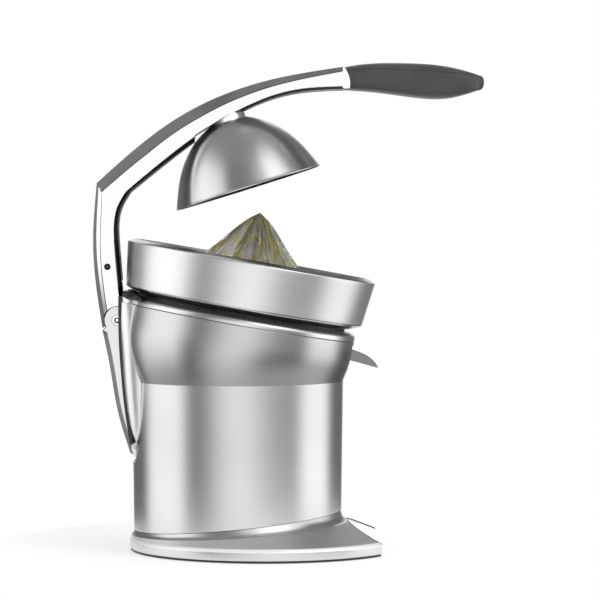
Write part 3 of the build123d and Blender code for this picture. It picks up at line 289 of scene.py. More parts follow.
SLOT_MATERIAL = {
    "cast_base": LIP_METAL,
    "black_plastic": BLACK_PLASTIC,
    "rubber": FOOT_RUBBER,
    "brushed": BODY_STEEL,
    "satin_cast": POLISHED,
    "pin_steel": CHROME,
    "smoky": SMOKY,
    "nylon": NYLON,
    "motor_steel": MOTOR_PAINT,
    "grip": GRIP_RUBBER,
    "bronze": BRONZE,
    "dome_steel": DOME_STEEL,
    "bowl_steel": BOWL_STEEL,
}
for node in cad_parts.values():
    for index, material in enumerate(node.data.materials):
        node.material_slots[index].material = SLOT_MATERIAL[material.name]
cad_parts["rear_spine"].material_slots[0].material = SPINE_STEEL
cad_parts["spout"].material_slots[0].material = SPOUT_STEEL


# ---- Mesh helpers ----
SHARP = math.radians(32)


def at(point, angle, radius):
    """The side-view point at an angle and distance from another one."""
    turn = math.radians(angle)
    return (point[0] + radius * math.cos(turn), point[1] + radius * math.sin(turn))


def arc(centre, radius, start, end, count):
    return [at(centre, start + (end - start) * i / count, radius) for i in range(count + 1)]


def smooth_curve(points, count):
    """Points spread along the natural cubic curve through the given ones."""
    knots = np.array(points, float)
    steps = np.linalg.norm(np.diff(knots, axis=0), axis=1)
    times = np.concatenate(([0.0], np.cumsum(steps)))
    size = len(knots)
    system = np.eye(size)
    right = np.zeros_like(knots)
    for i in range(1, size - 1):
        before, after = steps[i - 1], steps[i]
        system[i, i - 1 : i + 2] = before, 2 * (before + after), after
        right[i] = 6 * ((knots[i + 1] - knots[i]) / after - (knots[i] - knots[i - 1]) / before)
    bend = np.linalg.solve(system, right)
    curve = []
    for time in np.linspace(0, times[-1], count + 1):
        i = min(int(np.searchsorted(times, time, "right")) - 1, size - 2)
        span = steps[i]
        a, b = (times[i + 1] - time) / span, (time - times[i]) / span
        part = (a**3 - a) * bend[i] + (b**3 - b) * bend[i + 1]
        curve.append(tuple(a * knots[i] + b * knots[i + 1] + part * span**2 / 6))
    return curve


def finish_mesh(name, bm, materials, body, replaced=(), sharp=SHARP):
    bmesh.ops.remove_doubles(bm, verts=bm.verts, dist=1e-7)
    bmesh.ops.recalc_face_normals(bm, faces=bm.faces)
    for face in bm.faces:
        face.smooth = True
    for edge in bm.edges:
        if len(edge.link_faces) == 2 and edge.calc_face_angle(0) > sharp:
            edge.smooth = False
    mesh = bpy.data.meshes.new(name)
    bm.to_mesh(mesh)
    bm.free()
    for material in materials:
        mesh.materials.append(material)
    piece = bpy.data.objects.new(name, mesh)
    bpy.context.scene.collection.objects.link(piece)
    if body:
        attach(piece, body)
    if replaced:
        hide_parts(*replaced)
    return piece


def add_rows(bm, rows, wrap=True, caps=True, loop=False, finish=None):
    """Quads between rows of world points. finish gives a face's material index from its column."""
    grid = [[bm.verts.new(point) for point in row] for row in rows]
    count = len(rows[0])
    row_pairs = list(zip(grid, grid[1:])) + ([(grid[-1], grid[0])] if loop else [])
    for i, (low, high) in enumerate(row_pairs):
        for j in range(count if wrap else count - 1):
            k = (j + 1) % count
            face = bm.faces.new((low[j], low[k], high[k], high[j]))
            if finish:
                face.material_index = finish(i, j)
    if caps and not loop:
        for row, index in ((grid[0], 0), (grid[-1], len(rows) - 2)):
            face = bm.faces.new(row)
            if finish:
                face.material_index = finish(index, 0)
    return grid


def revolve(bm, profile, matrix, segments=256, finish=None):
    """A closed profile of (radius, height) turned about the frame's axis."""
    rows = []
    for radius, height in profile:
        turns = [2 * math.pi * i / segments for i in range(segments)]
        rows.append([matrix @ Vector((radius * math.cos(t), radius * math.sin(t), height)) for t in turns])
    add_rows(bm, rows, loop=True, caps=False, finish=finish)


def prism(bm, outline, low, high, finish=None):
    """A side-view outline between two depths."""
    rows = [[place(x, y, z) for x, z in outline] for y in (low, high)]
    add_rows(bm, rows, finish=finish)


def strip(bm, curves, section, finish=None):
    """A bar that follows side-view curves. section gives (curve, depth, y) entries for one place
    along it: a point at that depth from a curve towards the next one, at the side distance y."""
    rows = []
    for i, points in enumerate(zip(*curves)):
        points = [Vector(point) for point in points]
        spans = [max((b - a).length, 0.02) for a, b in zip(points, points[1:])]
        row = []
        for curve, down, y in section(spans, i):
            way = (points[curve + 1] - points[curve]) / spans[curve]
            point = points[curve] + way * down
            row.append(place(point.x, y, point.y))
        rows.append(row)
    add_rows(bm, rows, finish=finish)


def both_sides(half):
    """A section's far half and its mirror image, as one loop."""
    return half + [(curve, down, -y) for curve, down, y in reversed(half)]


def carve(name, solid, cutters, cut_index=3):
    """The solid mesh with other meshes taken away. Cut faces get the material cut_index."""
    scratch = []
    for index, bm in enumerate([solid] + cutters):
        bmesh.ops.remove_doubles(bm, verts=bm.verts, dist=1e-7)
        bmesh.ops.recalc_face_normals(bm, faces=bm.faces)
        if index:
            for face in bm.faces:
                face.material_index = cut_index
        mesh = bpy.data.meshes.new(f"{name}_{index}")
        bm.to_mesh(mesh)
        bm.free()
        for _ in range(cut_index + 1):
            mesh.materials.append(None)
        piece = bpy.data.objects.new(mesh.name, mesh)
        bpy.context.scene.collection.objects.link(piece)
        scratch.append(piece)
    for cutter in scratch[1:]:
        modifier = scratch[0].modifiers.new("cut", "BOOLEAN")
        modifier.object = cutter
        modifier.solver = "EXACT"
    bpy.context.view_layer.update()
    result = bmesh.new()
    result.from_object(scratch[0], bpy.context.evaluated_depsgraph_get())
    for piece in scratch:
        bpy.data.objects.remove(piece)
    return result


# ---- Lever arm ----
ARM_HALF = 21.0
ARM_END_R = 12.9
TAIL_R = 12.6
TAIL_HALF = 15.4
GRIP_X = 97.0
UPRIGHT_STEPS = 28
TOP_STEPS = 80
CORNER_OUT = (-127.7, 334.8)
CORNER_BAND = (-123.2, 325.9)
CORNER_IN = (-97.2, 326.7)
BACK_BAND = 3.8
BACK_KNOTS = [(-124.1, 212.3), (-129.5, 251.9), (-131.0, 278.2), CORNER_OUT]
TOP_KNOTS = [CORNER_OUT, (-52.5, 394.9), (22.7, 426.5), (GRIP_X, 440.3)]
FRONT_KNOTS = [(-102.4, 222.1), (-104.2, 237.4), (-107.8, 278.2), (-105.6, 312.0), CORNER_IN]
UNDER_KNOTS = [CORNER_IN, (-39.0, 372.4), (45.3, 415.2), (GRIP_X, 420.1)]
BAND_DEPTHS = [(0.0, 9.6), (0.2, 10.9), (0.45, 10.2), (0.75, 6.6), (1.0, 4.4)]
NOTCH = [(-39.9, 366.0), (-38.6, 378.2), (-31.2, 382.9), (-10.4, 395.1), (-1.2, 400.0)]
NOTCH += [(3.9, 402.2), (8.0, 390.0)]


def offset(curve, depths):
    """Points beside a curve, at a depth to its right that changes along it."""
    moved = []
    for i, point in enumerate(curve):
        before, after = Vector(curve[max(i - 1, 0)]), Vector(curve[min(i + 1, len(curve) - 1)])
        way = (after - before).normalized()
        depth = np.interp(i / (len(curve) - 1), [d[0] for d in depths], [d[1] for d in depths])
        moved.append((point[0] + way.y * float(depth), point[1] - way.x * float(depth)))
    return moved


def arm_curves():
    """Outer, band and inner curves of the arm, from the knuckle round the corner to the grip."""
    back, top = smooth_curve(BACK_KNOTS, UPRIGHT_STEPS), smooth_curve(TOP_KNOTS, TOP_STEPS)
    beside = offset(back, [(0, 7.2), (0.8, 7.0), (1, 5.4)])
    heights = np.linspace(beside[0][1], CORNER_BAND[1], UPRIGHT_STEPS + 1)
    across, up = zip(*beside)
    groove = [(float(np.interp(z, up, across)), float(z)) for z in heights]
    band = offset(top, BAND_DEPTHS)
    groove[-1] = band[0] = CORNER_BAND
    band[1] = tuple((Vector(band[0]) + Vector(band[2])) / 2)
    front, under = smooth_curve(FRONT_KNOTS, UPRIGHT_STEPS), smooth_curve(UNDER_KNOTS, TOP_STEPS)
    return back + top, groove + band, front + under


INNER_BEVELS = [(0, 3.9), (UPRIGHT_STEPS + 0.5 * TOP_STEPS, 3.7), (UPRIGHT_STEPS + 0.65 * TOP_STEPS, 2.4)]
ARM_BEVELS = [(0, 3.4), (UPRIGHT_STEPS, 6.0), (UPRIGHT_STEPS + 1, 6.0), (UPRIGHT_STEPS + 1 + TOP_STEPS, 2.6)]


def along_rows(row, pairs):
    """Value at a row, from (row, value) pairs."""
    return float(np.interp(row, [pair[0] for pair in pairs], [pair[1] for pair in pairs]))


def arm_section(spans, row):
    """Flat bevel down to the side face, a fine groove at its foot, and an inner bevel that carries a painted
    shadow line.
    """
    first, second = spans
    side = ARM_HALF
    inset = along_rows(row, ARM_BEVELS)
    upright = row <= UPRIGHT_STEPS
    band = BACK_BAND if upright else first * 0.5
    groove = 0.7 if upright else 0.25

    def face(depth, sunk=0.0):
        return (0, depth, side - inset * (1 - depth / first) - sunk)

    half = [(0, 0, 1), (0, 0, side - inset - 0.3), face(0.3), face(0.8), face(band - 0.1), face(band)]
    half += [face(first - 0.85), face(first - 0.8, groove)]
    half += [face(first - 0.15, groove), (0, first - 0.1, side)]
    bevel = min(along_rows(row, INNER_BEVELS), second * 0.4)
    half += [
        (1, 0.4, side),
        (1, second - bevel - 0.4, side),
        (1, second - bevel, side - 0.3),
        (1, second - 0.45 * bevel, side - 2.6),
        (1, second - 0.9, side - 4.6),
        (1, second - 0.3, side - 5.4),
        (1, second, side - 6.4),
        (1, second, 1),
    ]
    return both_sides(half)


ARM_COLUMNS = 18
# Columns from DARK_FROM to DARK_TO carry the painted shadow line on the inner bevel.
BAND_TO, GROOVE_FROM, GROOVE_TO, DARK_FROM, DARK_TO = 4, 6, 9, 12, 15


def arm_finish(row, column):
    """0 polished, 1 satin, 2 painted shadow line, 4 grey line, 5 top satin with painted light, by the place
    in the section.
    """
    if column >= ARM_COLUMNS - 1:
        column = 2 * ARM_COLUMNS - 2 - column
    upright = row < UPRIGHT_STEPS
    if column <= BAND_TO:
        return 1 if upright else 5
    if column < GROOVE_FROM:
        return 0 if upright else 5
    if column < GROOVE_TO:
        return 4
    return 2 if DARK_FROM <= column < DARK_TO else (1 if column >= DARK_TO else 0)


GRIP_JOINT = [(97.0, 440.0), (99.3, 436.0), (101.6, 429.8), (102.2, 424.0), (101.8, 420.6)]


def make_arm_end():
    """The polished end of the arm, which laps over the grip's root in a shallow curve."""
    bm = bmesh.new()
    outline = [(95.5, 420.6), (95.5, 439.8)] + smooth_curve(GRIP_JOINT, 16)
    prism(bm, outline, -(ARM_HALF + 0.3), ARM_HALF + 0.3)
    finish_mesh("arm_end", bm, [POLISHED], "arm", ())


THROUGH = 30  # half width of a cutter that goes right through the arm or the link
SLOT_HALF = 9.7
TONGUE_IN, TONGUE_OUT = 9.8, 15.6


def make_arm():
    bar = bmesh.new()
    strip(bar, arm_curves(), arm_section, arm_finish)
    ring = bmesh.new()
    prism(ring, arc(KNUCKLE, ARM_END_R, 0, 360, 96)[:-1], -THROUGH, THROUGH)
    slot = bmesh.new()
    slot_outline = [(-118.5, 205), (-121.0, 238), (-126.6, 256), (-125.9, 268.5), (-60, 268.5), (-60, 205)]
    prism(slot, slot_outline, -SLOT_HALF, SLOT_HALF)
    notch = bmesh.new()
    prism(notch, NOTCH, -THROUGH, THROUGH)
    pin_hole = bmesh.new()
    prism(pin_hole, arc(ARM_PIVOT, 3.0, 0, 360, 48)[:-1], -THROUGH, THROUGH)
    boss_hole = bmesh.new()
    revolve(boss_hole, [(0.01, 20), (BOSS_R + 0.1, 20), (BOSS_R + 0.1, 73.8), (0.01, 73.8)], DOME, 96)
    dome_body = bmesh.new()
    revolve(dome_body, [(0.01, -1), (DOME_R, -1)] + dome_curve(0.0) + [(0.01, DOME_HEIGHT)], DOME, 128)
    arm = carve("arm", bar, [ring, slot, notch, pin_hole, boss_hole, dome_body])
    materials = [POLISHED, BAND_SATIN, SHADOW_LINE, SATIN, GREY_LINE, TOP_SATIN]
    finish_mesh("arm_body", arm, materials, "arm", ["lever_arm"], math.radians(16))
    tongues = bmesh.new()
    outline = arc(KNUCKLE, 11.4, 180, 360, 24) + [(-103.5, 224), (-120, 224)]
    for low, high in ((TONGUE_IN, TONGUE_OUT), (-TONGUE_OUT, -TONGUE_IN)):
        prism(tongues, outline, low, high)
    finish_mesh("arm_tongues", tongues, [SATIN], "arm", ())
    tail = bmesh.new()
    outline = arc(KNUCKLE, TAIL_R, 207, 172, 16) + [(-120.8, 214.5), (-124.0, 214.5)]
    outline += [BACK_KNOTS[0], (-123.5, 207.5), (-122.6, 203.2)]
    prism(tail, outline, -TAIL_HALF, TAIL_HALF)
    finish_mesh("arm_tail", tail, [BAND_SATIN], "arm", ())


# ---- Dome ----
DOME_R = 68.9
DOME_HEIGHT = 66.8
DOME_KNOTS = [(DOME_R, 0), (54.4, 31.6), (31.8, 55.8), (0, DOME_HEIGHT)]
BOSS_R = 17.3
SHEET = 1.6


def dome_curve(inset, count=56):
    """Dome profile from the rim to just before the pole, with its wall taken in by inset."""
    mirrored = DOME_KNOTS + [(-r, h) for r, h in DOME_KNOTS[-2::-1]]
    curve = [point for point in smooth_curve(mirrored, 2 * count) if point[0] > 0.5]
    middle = Vector((0, DOME_HEIGHT * 0.1))
    taken_in = []
    for point in curve:
        out = (Vector(point) - middle).normalized()
        moved = Vector(point) - out * inset
        taken_in.append((moved.x, max(moved.y, 0.0)))
    return taken_in


def make_dome():
    outside = dome_curve(0.0)
    inside = dome_curve(SHEET)
    outside[0] = (DOME_R - 0.05, 0.9)
    inside[0] = (DOME_R - SHEET, 0.9)
    lip = [(DOME_R - SHEET + 0.2, 0.3), (DOME_R - 1.1, 0.0), (DOME_R - 0.5, 0.0), (DOME_R - 0.15, 0.3)]
    profile = lip + outside + [(0.01, DOME_HEIGHT), (0.01, DOME_HEIGHT - SHEET)] + inside[::-1]
    outer_end = len(lip) + len(outside)
    bm = bmesh.new()
    # The inside and the lip's underside take the dome's painted shade.
    revolve(bm, profile, DOME, 256, lambda row, column: 1 if row > outer_end or row < 2 else 0)
    finish_mesh("dome_shell", bm, [DOME_STEEL, DOME_INSIDE_SHADE], "arm", ["press_dome"])
    boss = bmesh.new()
    profile = [(3.0, 60.0), (BOSS_R - 0.8, 55.0), (BOSS_R, 55.0)]
    profile += [(BOSS_R, 73.0), (BOSS_R - 0.8, 73.7), (3.0, 73.7)]
    revolve(boss, profile, DOME, 128)
    cutter = bmesh.new()
    revolve(cutter, [(0.01, -1), (DOME_R, -1)] + dome_curve(-0.02) + [(0.01, DOME_HEIGHT)], DOME, 128)
    boss = carve("boss", boss, [cutter])
    materials = [POLISHED, POLISHED, POLISHED, SATIN]
    finish_mesh("boss", boss, materials, "arm", ["dome_boss"])


# ---- Rear link ----
LINK_FOOT_R = 8.5
WEB_HALF = 17.6
KNUCKLE_R = 12.4
LINK_BACK = [(-122.6, 201.0), (-115.9, 168.4), (-109.0, 128.6), (-97.6, 90.0)]
PLATE_IN = 16.0
LINK_BAND = 3.8
LINK_STEPS = 49
LINK_WEB_TOP = 196.0


def link_curves():
    """Back and front curve of the link's side plates, from the foot to the top of the knuckle."""
    foot_back = arc(LINK_PIVOT, LINK_FOOT_R, 300, 238, 8)
    back = smooth_curve(LINK_BACK[::-1], 40)
    head_back = arc(KNUCKLE, KNUCKLE_R, 209, 100, 24)
    foot_front = arc(LINK_PIVOT, LINK_FOOT_R, 300, 365, 8)
    low, high = at(LINK_PIVOT, 5, LINK_FOOT_R), at(KNUCKLE, -8, KNUCKLE_R)
    front = [(low[0] + (high[0] - low[0]) * i / 40, low[1] + (high[1] - low[1]) * i / 40) for i in range(41)]
    head_front = arc(KNUCKLE, KNUCKLE_R, -8, 100, 24)
    return foot_back + back + head_back, foot_front + front + head_front


def plate_section(side):
    def section(spans, row):
        depth = spans[0]
        band = min(LINK_BAND, depth * 0.3) * (1.0 if row < LINK_STEPS else 0.25)
        edge = min(0.6, depth * 0.1)
        outline = [
            (0, PLATE_IN),
            (0, ARM_HALF - 3.6),
            (0.3, ARM_HALF - 3.0),
            (band, ARM_HALF - 0.3),
            (band + 0.4 * edge, ARM_HALF),
            (depth - edge, ARM_HALF),
            (depth, ARM_HALF - edge),
            (depth, PLATE_IN + edge),
            (depth - edge, PLATE_IN),
        ]
        return [(0, down, side * y) for down, y in outline]

    return section


def make_link():
    plates = bmesh.new()
    for side in (1, -1):
        strip(plates, link_curves(), plate_section(side), lambda row, column: 1 if column < 4 else 0)
    holes = bmesh.new()
    prism(holes, arc(KNUCKLE, 5.05, 0, 360, 64)[:-1], -THROUGH, THROUGH)
    prism(holes, arc(LINK_PIVOT, 3.05, 0, 360, 48)[:-1], -THROUGH, THROUGH)
    plates = carve("link", plates, [holes])
    materials = [LINK_SIDE, BAND_SATIN, SATIN, SATIN]
    finish_mesh("link_plates", plates, materials, "rear_link", ["rear_link"])
    web = bmesh.new()
    back = [point for point in smooth_curve(LINK_BACK, 80) if point[1] < LINK_WEB_TOP]
    section = [(0, 0.05, WEB_HALF), (0, 0.05, -WEB_HALF), (0, 3.1, -WEB_HALF), (0, 3.1, WEB_HALF)]
    strip(web, (back, [(x + 3.1, z) for x, z in back]), lambda spans, row: section)
    finish_mesh("link_web", web, [BAND_SATIN], "rear_link", ())


def make_pin(name, node, body, centre, radius, half, hollow, ring, depth, face):
    """A cross pin with chamfered ends, a round recess in each and a ring of painted shade on the recess's
    wall round its floor.
    """
    axis = Matrix.Translation(place(centre[0], 0, centre[1])) @ Matrix.Rotation(math.pi / 2, 4, "X")
    axis = axis @ Matrix.Scale(MM, 4)
    end = [(radius, half - 0.4), (radius - 0.3, half), (hollow + 0.3, half), (hollow, half - 0.3)]
    end += [(hollow - ring, half - depth), (0.01, half - depth)]
    profile = end + [(r, -h) for r, h in reversed(end)]
    bm = bmesh.new()
    # Rows on the recess walls take the painted shade.
    dark = (3, len(profile) - 5)
    revolve(bm, profile, axis, 48, lambda row, column: 1 if row in dark else 0)
    finish_mesh(name, bm, [face, SHADOW_LINE], body, [node])


# ---- Grip ----
GRIP_TOP = [(GRIP_X + 0.3, 440.3), (111.1, 442.6), (147.9, 444.1), (192.2, 440.7), (221.2, 433.2)]
GRIP_UNDER = [(GRIP_X + 0.3, 420.1), (123.4, 418.3), (162.7, 413.3), (192.2, 412.6), (220.7, 420.0)]


GRIP_STEPS = 72
GRIP_END_STEPS = 9
CREASE_DEPTHS = [(0, 3.4), (0.12, 4.6), (0.45, 6.5), (0.7, 6.2), (0.9, 3.6), (1, 1.6)]


def grip_section(spans, row):
    """Rounded bar with a top facet over a soft crease and a light facet below a lower crease."""
    depth = spans[0]
    along = min(row / GRIP_STEPS, 1.0)
    beyond = max(0.0, along - 0.7) / 0.3
    width = (ARM_HALF + 0.9 * math.sin(math.pi * along)) * (0.3 + 0.7 * math.sqrt(max(0.0, 1 - beyond**2.6)))
    width *= 1 - 0.35 * max(0, row - GRIP_STEPS) / GRIP_END_STEPS
    places, depths = zip(*CREASE_DEPTHS)
    upper = min(float(np.interp(along, places, depths)), depth * 0.3)
    lower = min(2.8, depth * 0.14)
    fade = 1 - min(1, along / 0.75)
    half = [
        (0.0, 0.3 * width),
        (0.04 * upper, 0.58 * width),
        (0.3 * upper, 0.82 * width),
        (0.9 * upper, 0.972 * width),
        (upper, 0.974 * width),
        (upper + 0.35, 0.955 * width),
        (upper + 0.9, 0.972 * width),
        (upper + 0.18 * depth, 0.995 * width),
        (0.55 * depth, width),
        (0.72 * depth, 0.988 * width),
        (depth - lower - 1.2, 0.95 * width),
        (depth - lower - 0.4, (0.93 - 0.02 * fade) * width),
        (depth - lower, (0.915 - 0.05 * fade) * width),
        (depth - 0.8 * lower, (0.885 - 0.02 * fade) * width),
        (depth - 0.2 * lower, 0.7 * width),
        (depth - 0.05 * lower, 0.5 * width),
        (depth, 0.25 * width),
    ]
    return both_sides([(0, down, y) for down, y in half])


def make_grip():
    top, under = smooth_curve(GRIP_TOP, GRIP_STEPS), smooth_curve(GRIP_UNDER, GRIP_STEPS)
    end_top, end_under = Vector(top[-1]), Vector(under[-1])
    middle = (end_top + end_under) / 2
    half = (end_top - end_under) / 2
    for step in range(1, GRIP_END_STEPS + 1):
        turn = math.pi / 2 * step / GRIP_END_STEPS
        reach = Vector((4.2 * math.sin(turn), -0.2 * math.sin(turn)))
        rise = half * max(math.cos(turn), 0.06) ** 0.7
        top.append(tuple(middle + reach + rise))
        under.append(tuple(middle + reach - rise))
    bm = bmesh.new()
    strip(bm, (top, under), grip_section)
    finish_mesh("grip_body", bm, [GRIP_RUBBER], "arm", ["handle_grip"], math.radians(60))


# ---- Sleeve ----
SLEEVE_BOTTOM_R = 94.6
WAIST_R = 96.6
COLLAR_R = 105.2
COLLAR_SEAM_H = 18.4
SEAM_MIDDLE_Z = 27.6
SEAM_SLOPE = 0.0957
SEGMENTS = 288


def head_point(turn, radius, height):
    return HEAD @ Vector((radius * math.cos(turn), radius * math.sin(turn), height))


def sleeve_column(turn, inset):
    """Outside of the sleeve at one angle, from the foot's seam to the collar's seam."""
    out = Vector((math.cos(turn), math.sin(turn), 0))
    seam = SEAM_MIDDLE_Z + SEAM_SLOPE * SLEEVE_BOTTOM_R * out.x + 0.3
    column = []
    for i in range(13):
        z = seam + (FLARE_LOW - 0.7 - seam) * i / 12
        radius = SLEEVE_BOTTOM_R + (WAIST_R - SLEEVE_BOTTOM_R) * z / FLARE_LOW - inset
        column.append(place(out.x * radius, out.y * radius, z))
    waist = place(out.x * (WAIST_R - inset), out.y * (WAIST_R - inset), FLARE_LOW)
    shoulder = head_point(turn, COLLAR_R - inset, 4.0)
    rise = (shoulder - waist).length
    pull_low = (out * 0.34 + Vector((0, 0, 0.94))) * rise * 0.42
    pull_high = (HEAD.to_3x3() @ Vector((0, 0, -1))).normalized() * rise * 0.36
    for i in range(25):
        t = i / 24
        a, b = waist + pull_low, shoulder + pull_high
        column.append(
            waist * (1 - t) ** 3 + a * 3 * t * (1 - t) ** 2 + b * 3 * t * t * (1 - t) + shoulder * t**3
        )
    column.append(head_point(turn, COLLAR_R - inset, COLLAR_SEAM_H - 0.5))
    column.append(head_point(turn, COLLAR_R - inset - 0.3, COLLAR_SEAM_H - 0.1))
    return column


def make_sleeve():
    rows = []
    for i in range(SEGMENTS):
        turn = 2 * math.pi * i / SEGMENTS
        inside = sleeve_column(turn, SHEET)
        rows.append(sleeve_column(turn, 0) + inside[::-1])
    bm = bmesh.new()
    add_rows(bm, rows, loop=True, caps=False)
    trough = bmesh.new()
    outline = [(-140, 85), (-88, 81), (-75, 90), (-75, 250), (-140, 250)]
    prism(trough, outline, -26, 26)
    spout_slot = bmesh.new()
    corners = [(80, -17.4), (120, -17.4), (120, 17.4), (80, 17.4)]
    add_rows(spout_slot, [[HEAD @ Vector((u, v, h)) for u, v in corners] for h in (-6, 15)])
    shell = carve("sleeve", bm, [trough, spout_slot])
    finish_mesh("body_sleeve", shell, [BODY_STEEL], "press_body", ["body_shell"], math.radians(12))


# ---- Foot ----
FOOT_X = 26.1
FOOT_LONG = 124.5
FOOT_WIDE = 115.3
GLASS_X = 187.3
GLASS_R = 87.3
FOOT_LOW = 2.4
GASKET_LOW = 0.5
LIP_HIGH = 12.5
CREASE_R = 99.1
CREASE_X = 2.0
CREASE_MIDDLE_Z = 20.4
CREASE_SLOPE = 0.062
LIP_ROUND = 3.0
FOOT_SEGMENTS = 320


def ray_ellipse(turn, long, wide):
    """Distance from the body's axis to an ellipse about the foot's middle."""
    c, s = math.cos(turn) / long, math.sin(turn) / wide
    a, b, d = c * c + s * s, -FOOT_X * c / long, (FOOT_X / long) ** 2 - 1
    return (-b + math.sqrt(b * b - a * d)) / a


def foot_profile(turn):
    """Foot surface at one angle: fillet under the sleeve, slope, rounded lip, dark gasket and underside."""
    c, s = math.cos(turn), math.sin(turn)
    crease = CREASE_X * c + math.sqrt(CREASE_R**2 - (CREASE_X * s) ** 2)
    crease_z = CREASE_MIDDLE_Z + CREASE_SLOPE * crease * c
    seam_z = SEAM_MIDDLE_Z + SEAM_SLOPE * SLEEVE_BOTTOM_R * c - 0.2
    edge = ray_ellipse(turn, FOOT_LONG, FOOT_WIDE)
    lip = ray_ellipse(turn, FOOT_LONG - 3.0, FOOT_WIDE - 3.0)
    profile = [(SLEEVE_BOTTOM_R - 1.5, seam_z), (SLEEVE_BOTTOM_R - 0.2, seam_z)]
    for i in range(1, 9):
        t = i / 8
        pull = (SLEEVE_BOTTOM_R + 0.35, crease_z + 1.2)
        a, b, d = (1 - t) ** 2, 2 * t * (1 - t), t * t
        radius = a * SLEEVE_BOTTOM_R + b * pull[0] + d * crease
        profile.append((radius, a * seam_z + b * pull[1] + d * crease_z))
    for i in range(1, 9):
        t = i / 8
        profile.append((crease + (lip - crease) * t, crease_z + (LIP_HIGH - crease_z) * t))
    for i in range(1, 7):
        a = math.pi / 2 * i / 6
        profile.append((lip + (edge - lip) * math.sin(a), LIP_HIGH - LIP_ROUND * (1 - math.cos(a))))
    profile += [(edge, FOOT_LOW + 0.8), (edge - 0.5, FOOT_LOW)]
    profile += [(edge - 0.7, GASKET_LOW), (edge - 7.5, GASKET_LOW)]
    profile += [(edge - 7.6, FOOT_LOW + 2), (88.0, FOOT_LOW + 2), (88.0, seam_z - 1)]
    return profile


def foot_column(turn):
    return [place(r * math.cos(turn), r * math.sin(turn), z) for r, z in foot_profile(turn)]


FILLET_ROWS = 10
SLOPE_ROWS = 18
LIP_ROWS = 24


def foot_finish(row, column):
    """0 wall of the lip, 1 slope, 4 painted highlight on the lip's rounded edge, 5 gasket and underside."""
    if FILLET_ROWS - 1 <= column < SLOPE_ROWS - 1:
        return 1
    if SLOPE_ROWS - 1 <= column < LIP_ROWS - 1:
        return 4
    return 5 if column >= LIP_ROWS + 1 else 0


def make_foot():
    bm = bmesh.new()
    turns = [2 * math.pi * i / FOOT_SEGMENTS for i in range(FOOT_SEGMENTS)]
    add_rows(bm, [foot_column(turn) for turn in turns], loop=True, caps=False, finish=foot_finish)
    bite = bmesh.new()
    revolve(bite, [(0.01, -5), (GLASS_R, -5), (GLASS_R, 60), (0.01, 60)], leaning((GLASS_X, 0, 0), 0), 256)
    foot = carve("foot", bm, [bite])
    materials = [LIP_METAL, SLOPE_STEEL, LIP_METAL, POLISHED, LIP_PAINTED_HIGHLIGHT, BLACK_PLASTIC]
    sharp = math.radians(22)
    finish_mesh("foot_casting", foot, materials, "press_body", ["base_casting"], sharp)


BITE_EDGE_R = 0.6


def make_bite_shadow_line():
    """Thin dark tube along the top of the bite: a painted dark reflection of its rounded edge."""
    path = []
    for i in range(241):
        turn = math.pi - 1.0 + 2.0 * i / 240
        x, y = GLASS_X + GLASS_R * math.cos(turn), -GLASS_R * math.sin(turn)
        profile = foot_profile(math.atan2(y, x))
        if math.hypot(x, y) < profile[LIP_ROWS - 1][0] - 0.4:
            radii, heights = zip(*profile[1:LIP_ROWS])
            path.append(Vector((x, y, float(np.interp(math.hypot(x, y), radii, heights)) - 0.3)))
    rows = []
    for i, point in enumerate(path):
        way = path[min(i + 1, len(path) - 1)] - path[max(i - 1, 0)]
        across = Vector((way.y, -way.x, 0)).normalized()
        up = across.cross(way).normalized()
        turns = [2 * math.pi * j / 10 for j in range(10)]
        ring = [point + BITE_EDGE_R * (math.cos(t) * across + math.sin(t) * up) for t in turns]
        rows.append([place(*corner) for corner in ring])
    bm = bmesh.new()
    add_rows(bm, rows)
    finish_mesh("bite_edge_painted_line", bm, [SHADOW_LINE], "press_body", (), math.radians(60))


# ---- Collar, cap and bowl ----
COLLAR_TOP_H = 26.3
GROOVE = 0.6
CHANNEL_HALF = 23
CHANNEL_CUT = [(-140, 180), (-78, 180), (-78, 250), (-140, 250)]


def make_collar():
    """Ring with a fine groove over the sleeve and a rounded shoulder, with the spine's top behind it."""
    shoulder = []
    for i in range(13):
        t = i / 12
        a, b, c, d = (COLLAR_R, 21.3), (COLLAR_R, 24.4), (101.8, 25.8), (96.6, COLLAR_TOP_H)
        shoulder.append(tuple(
            (1 - t) ** 3 * a[k] + 3 * t * (1 - t) ** 2 * b[k] + 3 * t * t * (1 - t) * c[k] + t**3 * d[k]
            for k in (0, 1)
        ))
    low = COLLAR_SEAM_H + GROOVE / 2
    profile = [(94.9, low), (COLLAR_R - 0.35, low), (COLLAR_R - 0.05, low + 0.3), (COLLAR_R, low + 0.7)]
    profile += shoulder + [(94.9, COLLAR_TOP_H)]
    ring = bmesh.new()
    revolve(ring, profile, HEAD, 288)
    channel = bmesh.new()
    prism(channel, CHANNEL_CUT, -CHANNEL_HALF, CHANNEL_HALF)
    ring = carve("collar", ring, [channel])
    materials = [COLLAR_STEEL, COLLAR_STEEL, COLLAR_STEEL, SATIN]
    finish_mesh("collar_shell", ring, materials, "press_body", ["collar_ring"], math.radians(14))


SPINE_HALF = 40.8
WIDE = 60  # half width of a cutter wider than the spine
SPINE_CORNER = 15.0
COLLAR_BACK_X = -105.5
COLLAR_BACK_H = 23.3


def head_side(u, h):
    """Side-view point from the head frame."""
    point = HEAD @ Vector((u, 0, h)) / MM
    return (point.x - BODY_X, point.z)


